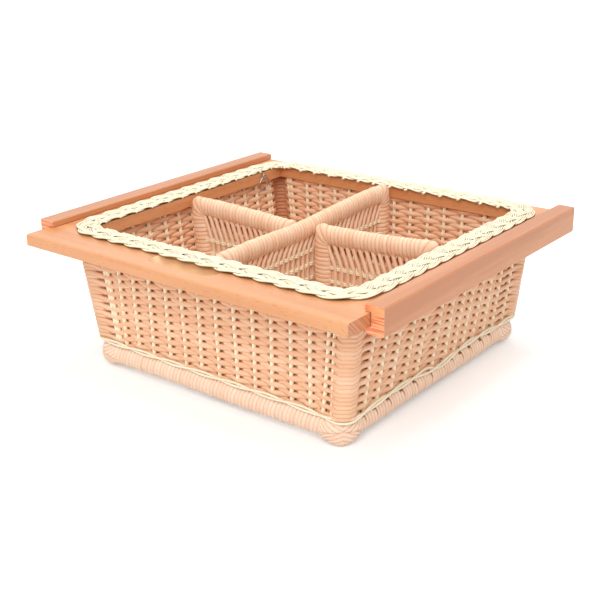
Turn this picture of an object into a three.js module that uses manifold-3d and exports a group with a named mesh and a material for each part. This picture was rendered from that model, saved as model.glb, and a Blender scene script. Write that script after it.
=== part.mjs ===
// Pull-out kitchen basket: a woven cane basket that hangs in a beech frame, and the frame slides in two
// grooved wooden runners. Millimetres, +Z up, +Y to the back of the cabinet, +X to the right. The origin
// is on the floor, under the middle of the part.

import * as THREE from 'three';
import { mergeVertices } from 'three/addons/utils/BufferGeometryUtils.js';
import Module from 'manifold-3d';

// Gap between pieces that rest on each other or lie side by side
const SEAT = 0.3;

// Wooden frame
const FRAME_WIDTH = 528;
const FRAME_DEPTH = 500;
const FRAME_TOP = 197;
const BOARD_THICKNESS = 16;
const FRONT_BOARD_DEPTH = 72;
const SIDE_MEMBER_WIDTH = 51;
const REAR_RAIL_DEPTH = 29;
const FRONT_EDGE_RADIUS = 3;
const DOWEL_DIAMETER = 6;
const DOWEL_LENGTH = 30;
const FRONT_DOWEL_SHARES = [0.25, 0.75];
const REAR_DOWEL_SHARES = [0.54, 0.84];

// Finger recess in the front board, measured on the board's face
const GRIP_LENGTH = 110;
const GRIP_DEPTH = 7;
const GRIP_COVE_RADIUS = 20;
const GRIP_OFF_CENTRE = -6;
const GRIP_FROM_FRONT = 33;

// Runners, which start behind the front board's edge and end level with the frame's rear
const RUNNER_SETBACK = 40;
const RUNNER_WIDTH = 25;
const RUNNER_HEIGHT = 35;
const RUNNER_RISE = 9;
const RUNNER_CHAMFER = 1.5;
const GROOVE_DEPTH = 8;
const GROOVE_SIDE_PLAY = 1;
const GROOVE_TOP_PLAY = 0.8;

// Plaited rim of three strands, flat and broad, that lies on the frame round the opening. Over one turn of
// the plait every strand swings from edge to edge and back, and rises and dips twice.
const BRAID_WIDTH = 34;
const BRAID_HEIGHT = 9.7;
const BRAID_CORNER_RADIUS = 40;
const BRAID_FOOT_INSET = 2;
const BRAID_TURNS = 20;
const BRAID_STRAND_WIDTH = 14;
const BRAID_STRAND_HEIGHT = 5.8;
const BRAID_OVERHANG_SIDE = 0.5;
const BRAID_OVERHANG_FRONT = 1;
const BRAID_OVERHANG_REAR = 6;

// Woven walls: how far their inner faces stand back from the opening at the top, and the slope at which
// each side leans in on the way down, as millimetres per millimetre of height
const WALL_THICKNESS = 14;
const WALL_SETBACK_SIDE = 7;
const WALL_SETBACK_FRONT = 6;
const WALL_SETBACK_REAR = 2;
const WALL_LEAN_SIDE = 0.137;
const WALL_LEAN_FRONT = 0.072;
const WALL_LEAN_REAR = 0.04;
const WALL_CORNER_RADIUS = 20;

// Stakes that rise from the walls through the frame. Each row gives the spacing from stake to stake, from
// the left or front corner of the opening to the next corner, and it stretches with the opening. Some
// stakes near the corners stand in pairs.
const STAKE_DIAMETER = 4.6;
const STAKE_HOLE_CLEARANCE = 0.35;
const FRONT_STAKES = [27, 6, 26, 28, 30, 28, 28, 30, 29, 30, 31, 29, 30, 30, 30, 7, 7];
const REAR_STAKES = [9, 6, 33, 27, 29, 27, 28, 28, 29, 29, 31, 28, 30, 36, 28, 28];
const LEFT_STAKES = [23, 27, 30, 31, 33, 28, 29, 29, 30, 30, 30, 28, 27, 7, 17];
const RIGHT_STAKES = [34, 31, 29, 32, 29, 33, 25, 30, 25, 28, 19, 26, 31, 27];

// Weave of the walls and the base: a cane passes outside one stake and inside the next, and the next cane
// does the opposite. The crests stand above the hollows by a share of the thickness, in the dividers'
// panels too. The lists name the stakes that the weave takes together with the stake before, going round
// from the front left corner.
const WEAVE_ROWS = 24;
const WEAVE_START = 0.7;
const WEAVE_END = 3.9;
const WEAVE_RELIEF_SHARE = 1 / 3;
const TAKEN_TOGETHER = { front: [1, 15], right: [12], rear: [0], left: [13, 12] };

// Waling round the foot of the walls
const WALING_CENTRE = 41.5;
const WALING_HEIGHT = 6;
const WALING_THICKNESS = 3;

// Wrapped bottom border, an upright oval in section, how far it stands proud of the foot of each wall,
// and its corner bindings, whose undersides are cut off level with the floor
const BORDER_WIDTH = 21;
const BORDER_HEIGHT = 30;
const BORDER_UNDERSIDE = 7.5;
const BORDER_PROUD_SIDE = 0.2;
const BORDER_PROUD_FRONT = 2.8;
const BORDER_PROUD_REAR = 0.2;
const CORNER_WRAP_WIDTH = 27;
const CORNER_WRAP_HEIGHT = 38.5;
const CORNER_WRAP_BEND = 16;
const CORNER_WRAP_TAIL = 12;

// Woven base
const BASE_THICKNESS = 12;
const BASE_UNDERSIDE = 9;
const BASE_RIB_SPACING = 28;
const BASE_ROW_SPACING = 6.1;

// Lift-out partition: a long divider from front to back and a short one to each side. Each hoop is a roll,
// oval in section, which is deeper in the hoop's own plane than it is wide across it. Its top rises from
// one end to the other: the long one's to the rear, the short ones' outward. The short ones stand at
// different places behind the basket's middle.
const DIVIDER_ROLL_DEPTH = 28;
const DIVIDER_ROLL_WIDTH = 19;
const DIVIDER_BEND = 16;
const DIVIDER_PANEL_THICKNESS = 8;
const DIVIDER_CANE_SPACING = 5.5;
const LONG_DIVIDER_TOP = 198;
const LONG_DIVIDER_RISE = 8;
const LONG_DIVIDER_FROM_FRONT = 7;
const LONG_DIVIDER_FROM_REAR = 8;
const SHORT_DIVIDER_TOP = 193;
const SHORT_DIVIDER_RISE = 7;
const SHORT_DIVIDER_SIDE_PLAY = 0.7;
const LEFT_DIVIDER_BEHIND_MIDDLE = 12;
const RIGHT_DIVIDER_BEHIND_MIDDLE = 23;

// Screw eye in the left side member, and the pull ring that hangs in it
const EYE_OUTER_DIAMETER = 8;
const EYE_WIRE = 1.8;
const EYE_BELOW_TOP = 5.5;
const EYE_FROM_REAR = 46.6;
const EYE_SHANK_DIAMETER = 2.4;
const EYE_SHANK_LENGTH = 10;
const RING_OUTER_DIAMETER = 23.6;
const RING_WIRE = 1.8;

// Facets of round pieces
const STAKE_SIDES = 6;
const DOWEL_SIDES = 8;
const ROLL_SIDES = 12;
const CORNER_STEPS = 5;
const BRAID_STATIONS_PER_TURN = 6;

// Levels of the frame
const boardUnderside = FRAME_TOP - BOARD_THICKNESS;
const boardMiddle = FRAME_TOP - BOARD_THICKNESS / 2;

// Plan of the frame and of its opening
const frameHalfWidth = FRAME_WIDTH / 2;
const frameFront = -FRAME_DEPTH / 2;
const frameRear = FRAME_DEPTH / 2;
const opening = {
  left: -frameHalfWidth + SIDE_MEMBER_WIDTH,
  right: frameHalfWidth - SIDE_MEMBER_WIDTH,
  front: frameFront + FRONT_BOARD_DEPTH,
  rear: frameRear - REAR_RAIL_DEPTH,
};

// Plan of the walls at the frame's underside, and their levels
const wallInside = {
  left: opening.left - WALL_SETBACK_SIDE,
  right: opening.right + WALL_SETBACK_SIDE,
  front: opening.front - WALL_SETBACK_FRONT,
  rear: opening.rear + WALL_SETBACK_REAR,
};
const wallOutside = grown(wallInside, WALL_THICKNESS);
const stakeLine = grown(wallInside, WALL_THICKNESS / 2);
const wallTop = boardUnderside - SEAT;
const wallFoot = BORDER_UNDERSIDE + BORDER_HEIGHT + SEAT;
const wallMiddleY = (wallInside.front + wallInside.rear) / 2;

// Plan of the border roll's centre line, under the foot of the walls
const borderHalfWidth = BORDER_WIDTH / 2;
const borderDrop = boardUnderside - wallFoot;
const borderLine = {
  left: wallOutside.left + WALL_LEAN_SIDE * borderDrop - BORDER_PROUD_SIDE + borderHalfWidth,
  right: wallOutside.right - WALL_LEAN_SIDE * borderDrop + BORDER_PROUD_SIDE - borderHalfWidth,
  front: wallOutside.front + WALL_LEAN_FRONT * borderDrop - BORDER_PROUD_FRONT + borderHalfWidth,
  rear: wallOutside.rear - WALL_LEAN_REAR * borderDrop + BORDER_PROUD_REAR - borderHalfWidth,
};
const borderInside = grown(borderLine, -borderHalfWidth - SEAT);
const borderCentre = BORDER_UNDERSIDE + BORDER_HEIGHT / 2;
const cornerWrapReach = CORNER_WRAP_BEND + CORNER_WRAP_TAIL;
const cornerWrapCentre = wallFoot - SEAT - CORNER_WRAP_HEIGHT / 2;

// The partition stands on the base
const dividerFoot = BASE_UNDERSIDE + BASE_THICKNESS + SEAT;
const dividerRadius = DIVIDER_ROLL_DEPTH / 2;

// Materials
const beech = new THREE.MeshStandardMaterial({ color: 0xdb9f66, roughness: 0.35, metalness: 0 });
const freshBeech = new THREE.MeshStandardMaterial({ color: 0xe7bf8f, roughness: 0.6, metalness: 0 });
const peachCane = new THREE.MeshStandardMaterial({ color: 0xe9bd8e, roughness: 0.5, metalness: 0 });
const creamCane = new THREE.MeshStandardMaterial({ color: 0xf3e2b8, roughness: 0.45, metalness: 0 });
const wireSteel = new THREE.MeshStandardMaterial({ color: 0x8f9194, roughness: 0.35, metalness: 1 });

const wasm = await Module();
wasm.setup();

const basket = new THREE.Group();

// A rectangle in plan whose four edges are moved outward by the same distance.
function grown(plan, distance) {
  return {
    left: plan.left - distance,
    right: plan.right + distance,
    front: plan.front - distance,
    rear: plan.rear + distance,
  };
}

// The corners of a rectangle in plan, in the order front left, front right, rear right, rear left.
function cornersOf(plan) {
  return [
    new THREE.Vector2(plan.left, plan.front),
    new THREE.Vector2(plan.right, plan.front),
    new THREE.Vector2(plan.right, plan.rear),
    new THREE.Vector2(plan.left, plan.rear),
  ];
}

// The points of an arc that rounds a corner between two straight runs.
function roundedCorner(before, corner, after, radius, steps) {
  const back = before.clone().sub(corner).normalize();
  const onward = after.clone().sub(corner).normalize();
  const halfAngle = Math.acos(back.dot(onward)) / 2;
  const middle = back.clone().add(onward).normalize();
  const centre = corner.clone().addScaledVector(middle, radius / Math.sin(halfAngle));
  const start = corner.clone().addScaledVector(back, radius / Math.tan(halfAngle));
  const turn = Math.PI - 2 * halfAngle;
  const direction = Math.sign(onward.cross(back));
  const points = [];
  for (let step = 0; step <= steps; step += 1) {
    points.push(start.clone().rotateAround(centre, (direction * turn * step) / steps));
  }
  return points;
}

// The outline of a rectangle in plan with round corners.
function roundedRectangle(plan, radius) {
  const corners = cornersOf(plan);
  return corners.flatMap((corner, index) => {
    const before = corners[(index + 3) % 4];
    const after = corners[(index + 1) % 4];
    return roundedCorner(before, corner, after, radius, CORNER_STEPS);
  });
}

// An upright prism over an outline in plan.
function prismZ(outline, low, high) {
  const shape = new THREE.Shape(outline);
  const geometry = new THREE.ExtrudeGeometry(shape, { depth: high - low, bevelEnabled: false });
  return geometry.translate(0, 0, low);
}

// A prism along Y over an outline of x and z.
function prismY(outline, front, rear) {
  const shape = new THREE.Shape(outline);
  const geometry = new THREE.ExtrudeGeometry(shape, { depth: rear - front, bevelEnabled: false });
  return geometry.rotateX(Math.PI / 2).translate(0, rear, 0);
}

// A prism along X over an outline of y and z.
function prismX(outline, left, right) {
  const shape = new THREE.Shape(outline);
  const geometry = new THREE.ExtrudeGeometry(shape, { depth: right - left, bevelEnabled: false });
  const turn = new THREE.Matrix4().makeBasis(
    new THREE.Vector3(0, 1, 0),
    new THREE.Vector3(0, 0, 1),
    new THREE.Vector3(1, 0, 0),
  );
  return geometry.applyMatrix4(turn).translate(left, 0, 0);
}

// A box between two corners.
function box(low, high) {
  const size = new THREE.Vector3().subVectors(high, low);
  const centre = new THREE.Vector3().addVectors(low, high).multiplyScalar(0.5);
  return new THREE.BoxGeometry(size.x, size.y, size.z).translate(centre.x, centre.y, centre.z);
}

// A round bar from one point to another.
function bar(from, to, radius, sides) {
  const run = new THREE.Vector3().subVectors(to, from);
  const centre = new THREE.Vector3().addVectors(from, to).multiplyScalar(0.5);
  const turn = new THREE.Quaternion();
  turn.setFromUnitVectors(new THREE.Vector3(0, 1, 0), run.clone().normalize());
  const geometry = new THREE.CylinderGeometry(radius, radius, run.length(), sides);
  return geometry.applyQuaternion(turn).translate(centre.x, centre.y, centre.z);
}

// A path of straight runs through the given points, with one section of the tube at each point.
class JointedPath extends THREE.Curve {
  constructor(points) {
    super();
    this.points = points;
  }

  getPointAt(share) {
    return this.points[Math.round(share * (this.points.length - 1))].clone();
  }

  getTangentAt(share) {
    const index = Math.round(share * (this.points.length - 1));
    const here = this.points[index];
    const before = this.points[Math.max(index - 1, 0)];
    const after = this.points[Math.min(index + 1, this.points.length - 1)];
    const arriving = here.clone().sub(before).normalize();
    const leaving = after.clone().sub(here).normalize();
    return arriving.add(leaving).normalize();
  }
}

// A round tube through the given points.
function bentTube(points, radius) {
  const section = new THREE.Shape();
  for (let side = 0; side < ROLL_SIDES; side += 1) {
    const angle = (2 * Math.PI * side) / ROLL_SIDES;
    const place = [radius * Math.cos(angle), radius * Math.sin(angle)];
    if (side === 0) {
      section.moveTo(...place);
    } else {
      section.lineTo(...place);
    }
  }
  const extrudePath = new JointedPath(points);
  return new THREE.ExtrudeGeometry(section, { steps: points.length - 1, extrudePath });
}

// Makes a level round bar or tube oval, with the given height for its width.
function oval(geometry, centre, width, height) {
  return geometry.translate(0, 0, -centre).scale(1, 1, height / width).translate(0, 0, centre);
}

// Slopes a wall piece, drawn in plan at the frame's underside, inward on its way down.
function leaned(geometry) {
  const position = geometry.attributes.position;
  for (let index = 0; index < position.count; index += 1) {
    const x = position.getX(index);
    const y = position.getY(index);
    const drop = boardUnderside - position.getZ(index);
    const shiftY = y < wallMiddleY ? WALL_LEAN_FRONT * drop : -WALL_LEAN_REAR * drop;
    position.setXY(index, x - Math.sign(x) * WALL_LEAN_SIDE * drop, y + shiftY);
  }
  return geometry;
}

// A closed solid that can be joined and cut. Triangles that have shrunk to a line are left out.
function solid(geometry) {
  const bare = geometry.clone();
  bare.deleteAttribute('normal');
  bare.deleteAttribute('uv');
  const merged = mergeVertices(bare);
  const corners = merged.index.array;
  const kept = [];
  for (let first = 0; first < corners.length; first += 3) {
    const triangle = Array.from(corners.slice(first, first + 3));
    if (new Set(triangle).size === 3) {
      kept.push(...triangle);
    }
  }
  return new wasm.Manifold(new wasm.Mesh({
    numProp: 3,
    vertProperties: new Float32Array(merged.attributes.position.array),
    triVerts: new Uint32Array(kept),
  }));
}

// The geometry of a solid that was joined or cut.
function geometryOf(manifold) {
  const mesh = manifold.getMesh();
  const geometry = new THREE.BufferGeometry();
  geometry.setAttribute('position', new THREE.BufferAttribute(mesh.vertProperties, 3));
  geometry.setIndex(new THREE.BufferAttribute(mesh.triVerts, 1));
  return geometry;
}

// A geometry with others cut out of it.
function cut(geometry, tools) {
  return geometryOf(tools.reduce((body, tool) => body.subtract(solid(tool)), solid(geometry)));
}

// Several geometries joined to one.
function joined(geometries) {
  return geometryOf(geometries.map(solid).reduce((body, other) => body.add(other)));
}

// Adds a named piece to the basket.
function addPiece(name, geometry, material) {
  geometry.computeVertexNormals();
  const mesh = new THREE.Mesh(geometry, material.clone());
  mesh.name = name;
  basket.add(mesh);
}

// The places of a row of stakes, spaced out from one corner of the opening to the next.
function stakeRow(spacing, from, to) {
  const upTo = (count) => spacing.slice(0, count).reduce((sum, step) => sum + step, 0);
  const scale = (to - from) / upTo(spacing.length);
  return spacing.slice(1).map((_, index) => from + scale * upTo(index + 1));
}

const stakePlaces = {
  front: stakeRow(FRONT_STAKES, opening.left, opening.right)
    .map((x) => new THREE.Vector2(x, stakeLine.front)),
  rear: stakeRow(REAR_STAKES, opening.left, opening.right)
    .map((x) => new THREE.Vector2(x, stakeLine.rear)),
  left: stakeRow(LEFT_STAKES, opening.front, opening.rear)
    .map((y) => new THREE.Vector2(stakeLine.left, y)),
  right: stakeRow(RIGHT_STAKES, opening.front, opening.rear)
    .map((y) => new THREE.Vector2(stakeLine.right, y)),
};

// Upright bars at the stakes of one side.
function stakeBars(side, radius, low, high) {
  return stakePlaces[side].map(({ x, y }) => bar(
    new THREE.Vector3(x, y, low),
    new THREE.Vector3(x, y, high),
    radius,
    STAKE_SIDES,
  ));
}

// The holes that the stakes of one side pass through.
function stakeHoles(side) {
  const radius = STAKE_DIAMETER / 2 + STAKE_HOLE_CLEARANCE;
  return stakeBars(side, radius, boardUnderside - 1, FRAME_TOP + 1);
}

// The centre lines of the dowels, two at each corner of the frame. At the front they run back into the
// side members, and at the rear they run sideways out of the rail, behind the row of stakes.
function dowelLines() {
  const lines = [];
  const half = DOWEL_LENGTH / 2;
  for (const [sideName, sign] of [['left', -1], ['right', 1]]) {
    [0, 1].forEach((index) => {
      const frontX = sign * (opening.right + FRONT_DOWEL_SHARES[index] * SIDE_MEMBER_WIDTH);
      const rearY = opening.rear + REAR_DOWEL_SHARES[index] * REAR_RAIL_DEPTH;
      lines.push({
        name: `dowel_front_${sideName}_${index + 1}`,
        from: new THREE.Vector3(frontX, opening.front - half, boardMiddle),
        to: new THREE.Vector3(frontX, opening.front + half, boardMiddle),
      });
      lines.push({
        name: `dowel_rear_${sideName}_${index + 1}`,
        from: new THREE.Vector3(sign * (opening.right - half), rearY, boardMiddle),
        to: new THREE.Vector3(sign * (opening.right + half), rearY, boardMiddle),
      });
    });
  }
  return lines;
}

// The blind holes round all the dowels, each a little wider and longer than its dowel.
function dowelHoles() {
  return dowelLines().map(({ from, to }) => {
    const spare = to.clone().sub(from).normalize().multiplyScalar(SEAT);
    const radius = DOWEL_DIAMETER / 2 + SEAT;
    return bar(from.clone().sub(spare), to.clone().add(spare), radius, DOWEL_SIDES);
  });
}

function addDowels() {
  for (const { name, from, to } of dowelLines()) {
    addPiece(name, bar(from, to, DOWEL_DIAMETER / 2, DOWEL_SIDES), freshBeech);
  }
}

// Front board: full width, with a soft front edge, a coved finger recess and the front stakes' holes.
function addFrontBoard() {
  const rear = opening.front - SEAT / 2;
  const topFront = new THREE.Vector2(frameFront, FRAME_TOP);
  const bottomFront = new THREE.Vector2(frameFront, boardUnderside);
  const topRear = new THREE.Vector2(rear, FRAME_TOP);
  const bottomRear = new THREE.Vector2(rear, boardUnderside);
  const outline = [
    ...roundedCorner(bottomFront, topFront, topRear, FRONT_EDGE_RADIUS, CORNER_STEPS),
    topRear,
    bottomRear,
    ...roundedCorner(bottomRear, bottomFront, topFront, FRONT_EDGE_RADIUS / 2, CORNER_STEPS),
  ];
  const board = prismX(outline, -frameHalfWidth, frameHalfWidth);
  const axisHeight = GRIP_COVE_RADIUS - GRIP_DEPTH;
  const coveReach = Math.sqrt(GRIP_COVE_RADIUS ** 2 - axisHeight ** 2);
  const straight = GRIP_LENGTH - 2 * coveReach;
  const cove = new THREE.CapsuleGeometry(GRIP_COVE_RADIUS, straight, 4, 24).rotateZ(Math.PI / 2);
  cove.translate(GRIP_OFF_CENTRE, frameFront + GRIP_FROM_FRONT, FRAME_TOP + axisHeight);
  addPiece('front_board', cut(board, [cove, ...stakeHoles('front'), ...dowelHoles()]), beech);
}

// Side members: they run from the front board to the rear end of the frame.
function addSideMembers() {
  for (const [sideName, sign] of [['left', -1], ['right', 1]]) {
    const inner = sign * opening.right;
    const outer = sign * frameHalfWidth;
    const low = new THREE.Vector3(Math.min(inner, outer), opening.front + SEAT / 2, boardUnderside);
    const high = new THREE.Vector3(Math.max(inner, outer), frameRear, FRAME_TOP);
    const tools = [...stakeHoles(sideName), ...dowelHoles()];
    if (sideName === 'left') {
      tools.push(eyeShank(SEAT));
    }
    addPiece(`${sideName}_side_member`, cut(box(low, high), tools), beech);
  }
}

// Rear rail: it closes the frame between the side members.
function addRearRail() {
  const low = new THREE.Vector3(opening.left + SEAT, opening.rear, boardUnderside);
  const high = new THREE.Vector3(opening.right - SEAT, frameRear, FRAME_TOP);
  addPiece('rear_rail', cut(box(low, high), [...stakeHoles('rear'), ...dowelHoles()]), beech);
}

// Runners: square-section bars with a groove in the inner face, in which the frame's edge slides.
function addRunners() {
  const grooveBottom = frameHalfWidth + GROOVE_SIDE_PLAY;
  const inner = grooveBottom - GROOVE_DEPTH;
  const outer = inner + RUNNER_WIDTH;
  const top = FRAME_TOP + RUNNER_RISE;
  const bottom = top - RUNNER_HEIGHT;
  const grooveLow = boardUnderside - SEAT;
  const grooveHigh = FRAME_TOP + GROOVE_TOP_PLAY;
  const section = [
    [inner, bottom + RUNNER_CHAMFER],
    [inner + RUNNER_CHAMFER, bottom],
    [outer - RUNNER_CHAMFER, bottom],
    [outer, bottom + RUNNER_CHAMFER],
    [outer, top - RUNNER_CHAMFER],
    [outer - RUNNER_CHAMFER, top],
    [inner + RUNNER_CHAMFER, top],
    [inner, top - RUNNER_CHAMFER],
    [inner, grooveHigh],
    [grooveBottom, grooveHigh],
    [grooveBottom, grooveLow],
    [inner, grooveLow],
  ];
  for (const [sideName, sign] of [['left', -1], ['right', 1]]) {
    const outline = section.map(([x, z]) => new THREE.Vector2(sign * x, z));
    const runner = prismY(outline, frameFront + RUNNER_SETBACK, frameRear);
    addPiece(`${sideName}_runner`, runner, beech);
  }
}

// A closed band through sections that follow each other round a ring, each with as many points.
function ringThrough(sections) {
  const places = sections.flatMap((section, index) => {
    const onward = sections[(index + 1) % sections.length];
    return section.flatMap((point, side) => {
      const next = (side + 1) % section.length;
      return [point, onward[side], onward[next], point, onward[next], section[next]];
    });
  });
  return new THREE.BufferGeometry().setFromPoints(places);
}

// The section of the plait at an angle of its turn, as places beside and above its middle: a flat foot, two
// edges that the outermost strands reach, and an upper face that follows the highest strand.
function plaitSection(turn) {
  const halfWidth = BRAID_STRAND_WIDTH / 2;
  const halfHeight = BRAID_STRAND_HEIGHT / 2;
  const swing = BRAID_WIDTH / 2 - halfWidth;
  const lift = (BRAID_HEIGHT / 2 - halfHeight) / Math.sin(Math.PI / 3);
  const strands = [0, 1, 2].map((number) => {
    const angle = turn + (2 * Math.PI * number) / 3;
    return { aside: swing * Math.sin(angle), height: lift * Math.sin(2 * angle) };
  });
  const inner = Math.min(...strands.map(({ aside }) => aside)) - halfWidth;
  const outer = Math.max(...strands.map(({ aside }) => aside)) + halfWidth;
  const top = (place) => Math.max(...strands.map(({ aside, height }) => {
    const away = Math.min(Math.abs(place - aside) / halfWidth, 1);
    return away < 1 ? height + halfHeight * Math.sqrt(1 - away * away) : -halfHeight;
  }));
  const upper = [1, 0.5, 0, -0.5, -1].map((share) => new THREE.Vector2(share * swing, top(share * swing)));
  return [
    new THREE.Vector2(inner + BRAID_FOOT_INSET, -BRAID_HEIGHT / 2),
    new THREE.Vector2(outer - BRAID_FOOT_INSET, -BRAID_HEIGHT / 2),
    new THREE.Vector2(outer, 0),
    ...upper,
    new THREE.Vector2(inner, 0),
  ];
}

// Rim braid: the plait lies on the frame all the way round the opening, from the front left corner.
function addRimBraid() {
  const inside = {
    left: opening.left + BRAID_OVERHANG_SIDE,
    right: opening.right - BRAID_OVERHANG_SIDE,
    front: opening.front + BRAID_OVERHANG_FRONT,
    rear: opening.rear - BRAID_OVERHANG_REAR,
  };
  const { left, right, front, rear } = grown(inside, BRAID_WIDTH / 2);
  const radius = BRAID_CORNER_RADIUS;
  const quarter = Math.PI / 2;
  const line = new THREE.Path().moveTo(left + radius, front).lineTo(right - radius, front);
  line.absarc(right - radius, front + radius, radius, -quarter, 0);
  line.absarc(right - radius, rear - radius, radius, 0, quarter);
  line.absarc(left + radius, rear - radius, radius, quarter, 2 * quarter);
  line.absarc(left + radius, front + radius, radius, 2 * quarter, 3 * quarter);
  const stations = BRAID_TURNS * BRAID_STATIONS_PER_TURN;
  const middle = FRAME_TOP + SEAT + BRAID_HEIGHT / 2;
  const sections = [];
  for (let station = 0; station < stations; station += 1) {
    const share = (station + 0.5) / stations;
    const place = line.getPoint(share);
    const ahead = line.getTangent(share);
    sections.push(plaitSection(2 * Math.PI * BRAID_TURNS * share).map((point) => new THREE.Vector3(
      place.x + ahead.y * point.x,
      place.y - ahead.x * point.x,
      middle + point.y,
    )));
  }
  addPiece('rim_braid', ringThrough(sections), creamCane);
}

// The part of the wall ring between two mitred corners. The mitres leave a hair's gap between panels.
function mitredSector(index) {
  const corners = cornersOf(wallOutside);
  const centre = corners[0].clone().add(corners[2]).multiplyScalar(0.5);
  const from = corners[index];
  const to = corners[(index + 1) % 4];
  const gap = to.clone().sub(from).normalize().multiplyScalar(SEAT / Math.SQRT2);
  const diagonal = (corner) => new THREE.Vector2(
    Math.sign(corner.x - centre.x),
    Math.sign(corner.y - centre.y),
  );
  const place = (corner, distance) => corner.clone().addScaledVector(diagonal(corner), distance);
  const outward = WALL_THICKNESS / 2;
  const inward = -WALL_THICKNESS * 1.5;
  const outline = [
    place(from, outward).add(gap),
    place(to, outward).sub(gap),
    place(to, inward).sub(gap),
    place(from, inward).add(gap),
  ];
  return leaned(prismZ(outline, wallFoot - 1, wallTop + 1));
}

// A woven sheet as a closed solid with two faces. point gives a place on the first (1) or second (-1) face
// by its column and row, and phase says how far the weave stands towards the first face there, from -1 to
// 1. Each cell is split between its two lower corners, so that every crest stands up as a pillow.
function wovenSheet({ columns, rows, isRing, phase, point }) {
  const places = [];
  const addQuad = (a, b, c, d) => places.push(a, b, c, a, c, d);
  const at = (face, column, row) => point(face, column % columns, row);
  const spans = isRing ? columns : columns - 1;
  for (let column = 0; column < spans; column += 1) {
    const next = column + 1;
    for (let row = 0; row < rows - 1; row += 1) {
      const cell = [[column, row], [next, row], [next, row + 1], [column, row + 1]];
      const lean = cell.reduce((sum, [c, r], index) => sum + (-1) ** index * phase(c % columns, r), 0);
      for (const face of [1, -1]) {
        const shift = face * lean > 0 ? 1 : 0;
        const [a, b, c, d] = cell.map((_, index) => at(face, ...cell[(index + shift) % 4]));
        addQuad(a, face > 0 ? b : d, c, face > 0 ? d : b);
      }
    }
    const last = rows - 1;
    addQuad(at(-1, column, 0), at(-1, next, 0), at(1, next, 0), at(1, column, 0));
    addQuad(at(1, column, last), at(1, next, last), at(-1, next, last), at(-1, column, last));
  }
  for (let row = 0; !isRing && row < rows - 1; row += 1) {
    const last = columns - 1;
    addQuad(at(1, 0, row), at(1, 0, row + 1), at(-1, 0, row + 1), at(-1, 0, row));
    addQuad(at(-1, last, row), at(-1, last, row + 1), at(1, last, row + 1), at(1, last, row));
  }
  return new THREE.BufferGeometry().setFromPoints(places);
}

// How far a face of a woven sheet stands from the sheet's middle where the weave has a phase. A crest
// reaches the full thickness.
function weaveOffset(face, phase, thickness) {
  return (face * thickness) / 2 - (WEAVE_RELIEF_SHARE * thickness * (face - phase)) / 2;
}

// Once round the walls' middle line at the frame's underside, from the front left corner: the stakes and
// the steps of each rounded corner, with the way outward, and the phase, which changes sign from stake to
// stake and runs evenly round a corner.
function weaveColumns() {
  const round = [
    { side: 'front', outward: new THREE.Vector2(0, -1), order: 1 },
    { side: 'right', outward: new THREE.Vector2(1, 0), order: 1 },
    { side: 'rear', outward: new THREE.Vector2(0, 1), order: -1 },
    { side: 'left', outward: new THREE.Vector2(-1, 0), order: -1 },
  ];
  let phase = -1;
  const sides = round.map(({ side, outward, order }) => {
    const numbers = stakePlaces[side].map((_, index) => index);
    return (order > 0 ? numbers : numbers.reverse()).map((number) => {
      phase *= TAKEN_TOGETHER[side].includes(number) ? 1 : -1;
      return { place: stakePlaces[side][number], outward, phase, isBend: false };
    });
  });
  const radius = WALL_CORNER_RADIUS - WALL_THICKNESS / 2;
  const corners = cornersOf(stakeLine);
  return sides.flatMap((columns, index) => {
    const before = columns[columns.length - 1];
    const after = sides[(index + 1) % 4][0];
    const corner = corners[(index + 1) % 4];
    const centre = corner.clone().addScaledVector(before.outward, -radius);
    centre.addScaledVector(after.outward, -radius);
    const bend = [];
    for (let step = 0; step <= CORNER_STEPS; step += 1) {
      const angle = ((Math.PI / 2) * step) / CORNER_STEPS;
      const outward = before.outward.clone().rotateAround(new THREE.Vector2(), angle);
      const share = (step + 1) / (CORNER_STEPS + 2);
      bend.push({
        place: centre.clone().addScaledVector(outward, radius),
        outward,
        phase: before.phase + share * (after.phase - before.phase),
        isBend: true,
      });
    }
    return [...columns, ...bend];
  });
}

// The walls as one woven ring. Its foot is plain and full, where the waling lies against it.
function wovenRing() {
  const columns = weaveColumns();
  const weaveFoot = WALING_CENTRE + WALING_HEIGHT / 2;
  const firstRow = weaveFoot + WEAVE_START;
  const rowPitch = (wallTop - WEAVE_END - firstRow) / (WEAVE_ROWS - 1);
  const levels = [{ height: wallFoot, isFull: true }, { height: weaveFoot, isFull: true }];
  for (let row = 0; row < WEAVE_ROWS; row += 1) {
    levels.push({ height: firstRow + row * rowPitch, sign: (-1) ** row });
  }
  levels.push({ height: wallTop, sign: 0 });
  const phase = (column, row) => (levels[row].isFull ? 0 : levels[row].sign * columns[column].phase);
  const point = (face, column, row) => {
    const { place, outward, isBend } = columns[column];
    const { height, isFull } = levels[row];
    const drop = boardUnderside - height;
    const fromMiddle = place.y - wallMiddleY;
    const lean = fromMiddle < 0 ? WALL_LEAN_FRONT : WALL_LEAN_REAR;
    const reach = stakeLine.rear - wallMiddleY;
    const shareX = isBend ? 1 : Math.abs(place.x) / stakeLine.right;
    const shareY = isBend ? 1 : Math.abs(fromMiddle) / reach;
    const offset = weaveOffset(face, isFull ? face : phase(column, row), WALL_THICKNESS);
    return new THREE.Vector3(
      place.x - Math.sign(place.x) * shareX * WALL_LEAN_SIDE * drop + outward.x * offset,
      place.y - Math.sign(fromMiddle) * shareY * lean * drop + outward.y * offset,
      height,
    );
  };
  return wovenSheet({ columns: columns.length, rows: levels.length, isRing: true, phase, point });
}

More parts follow.
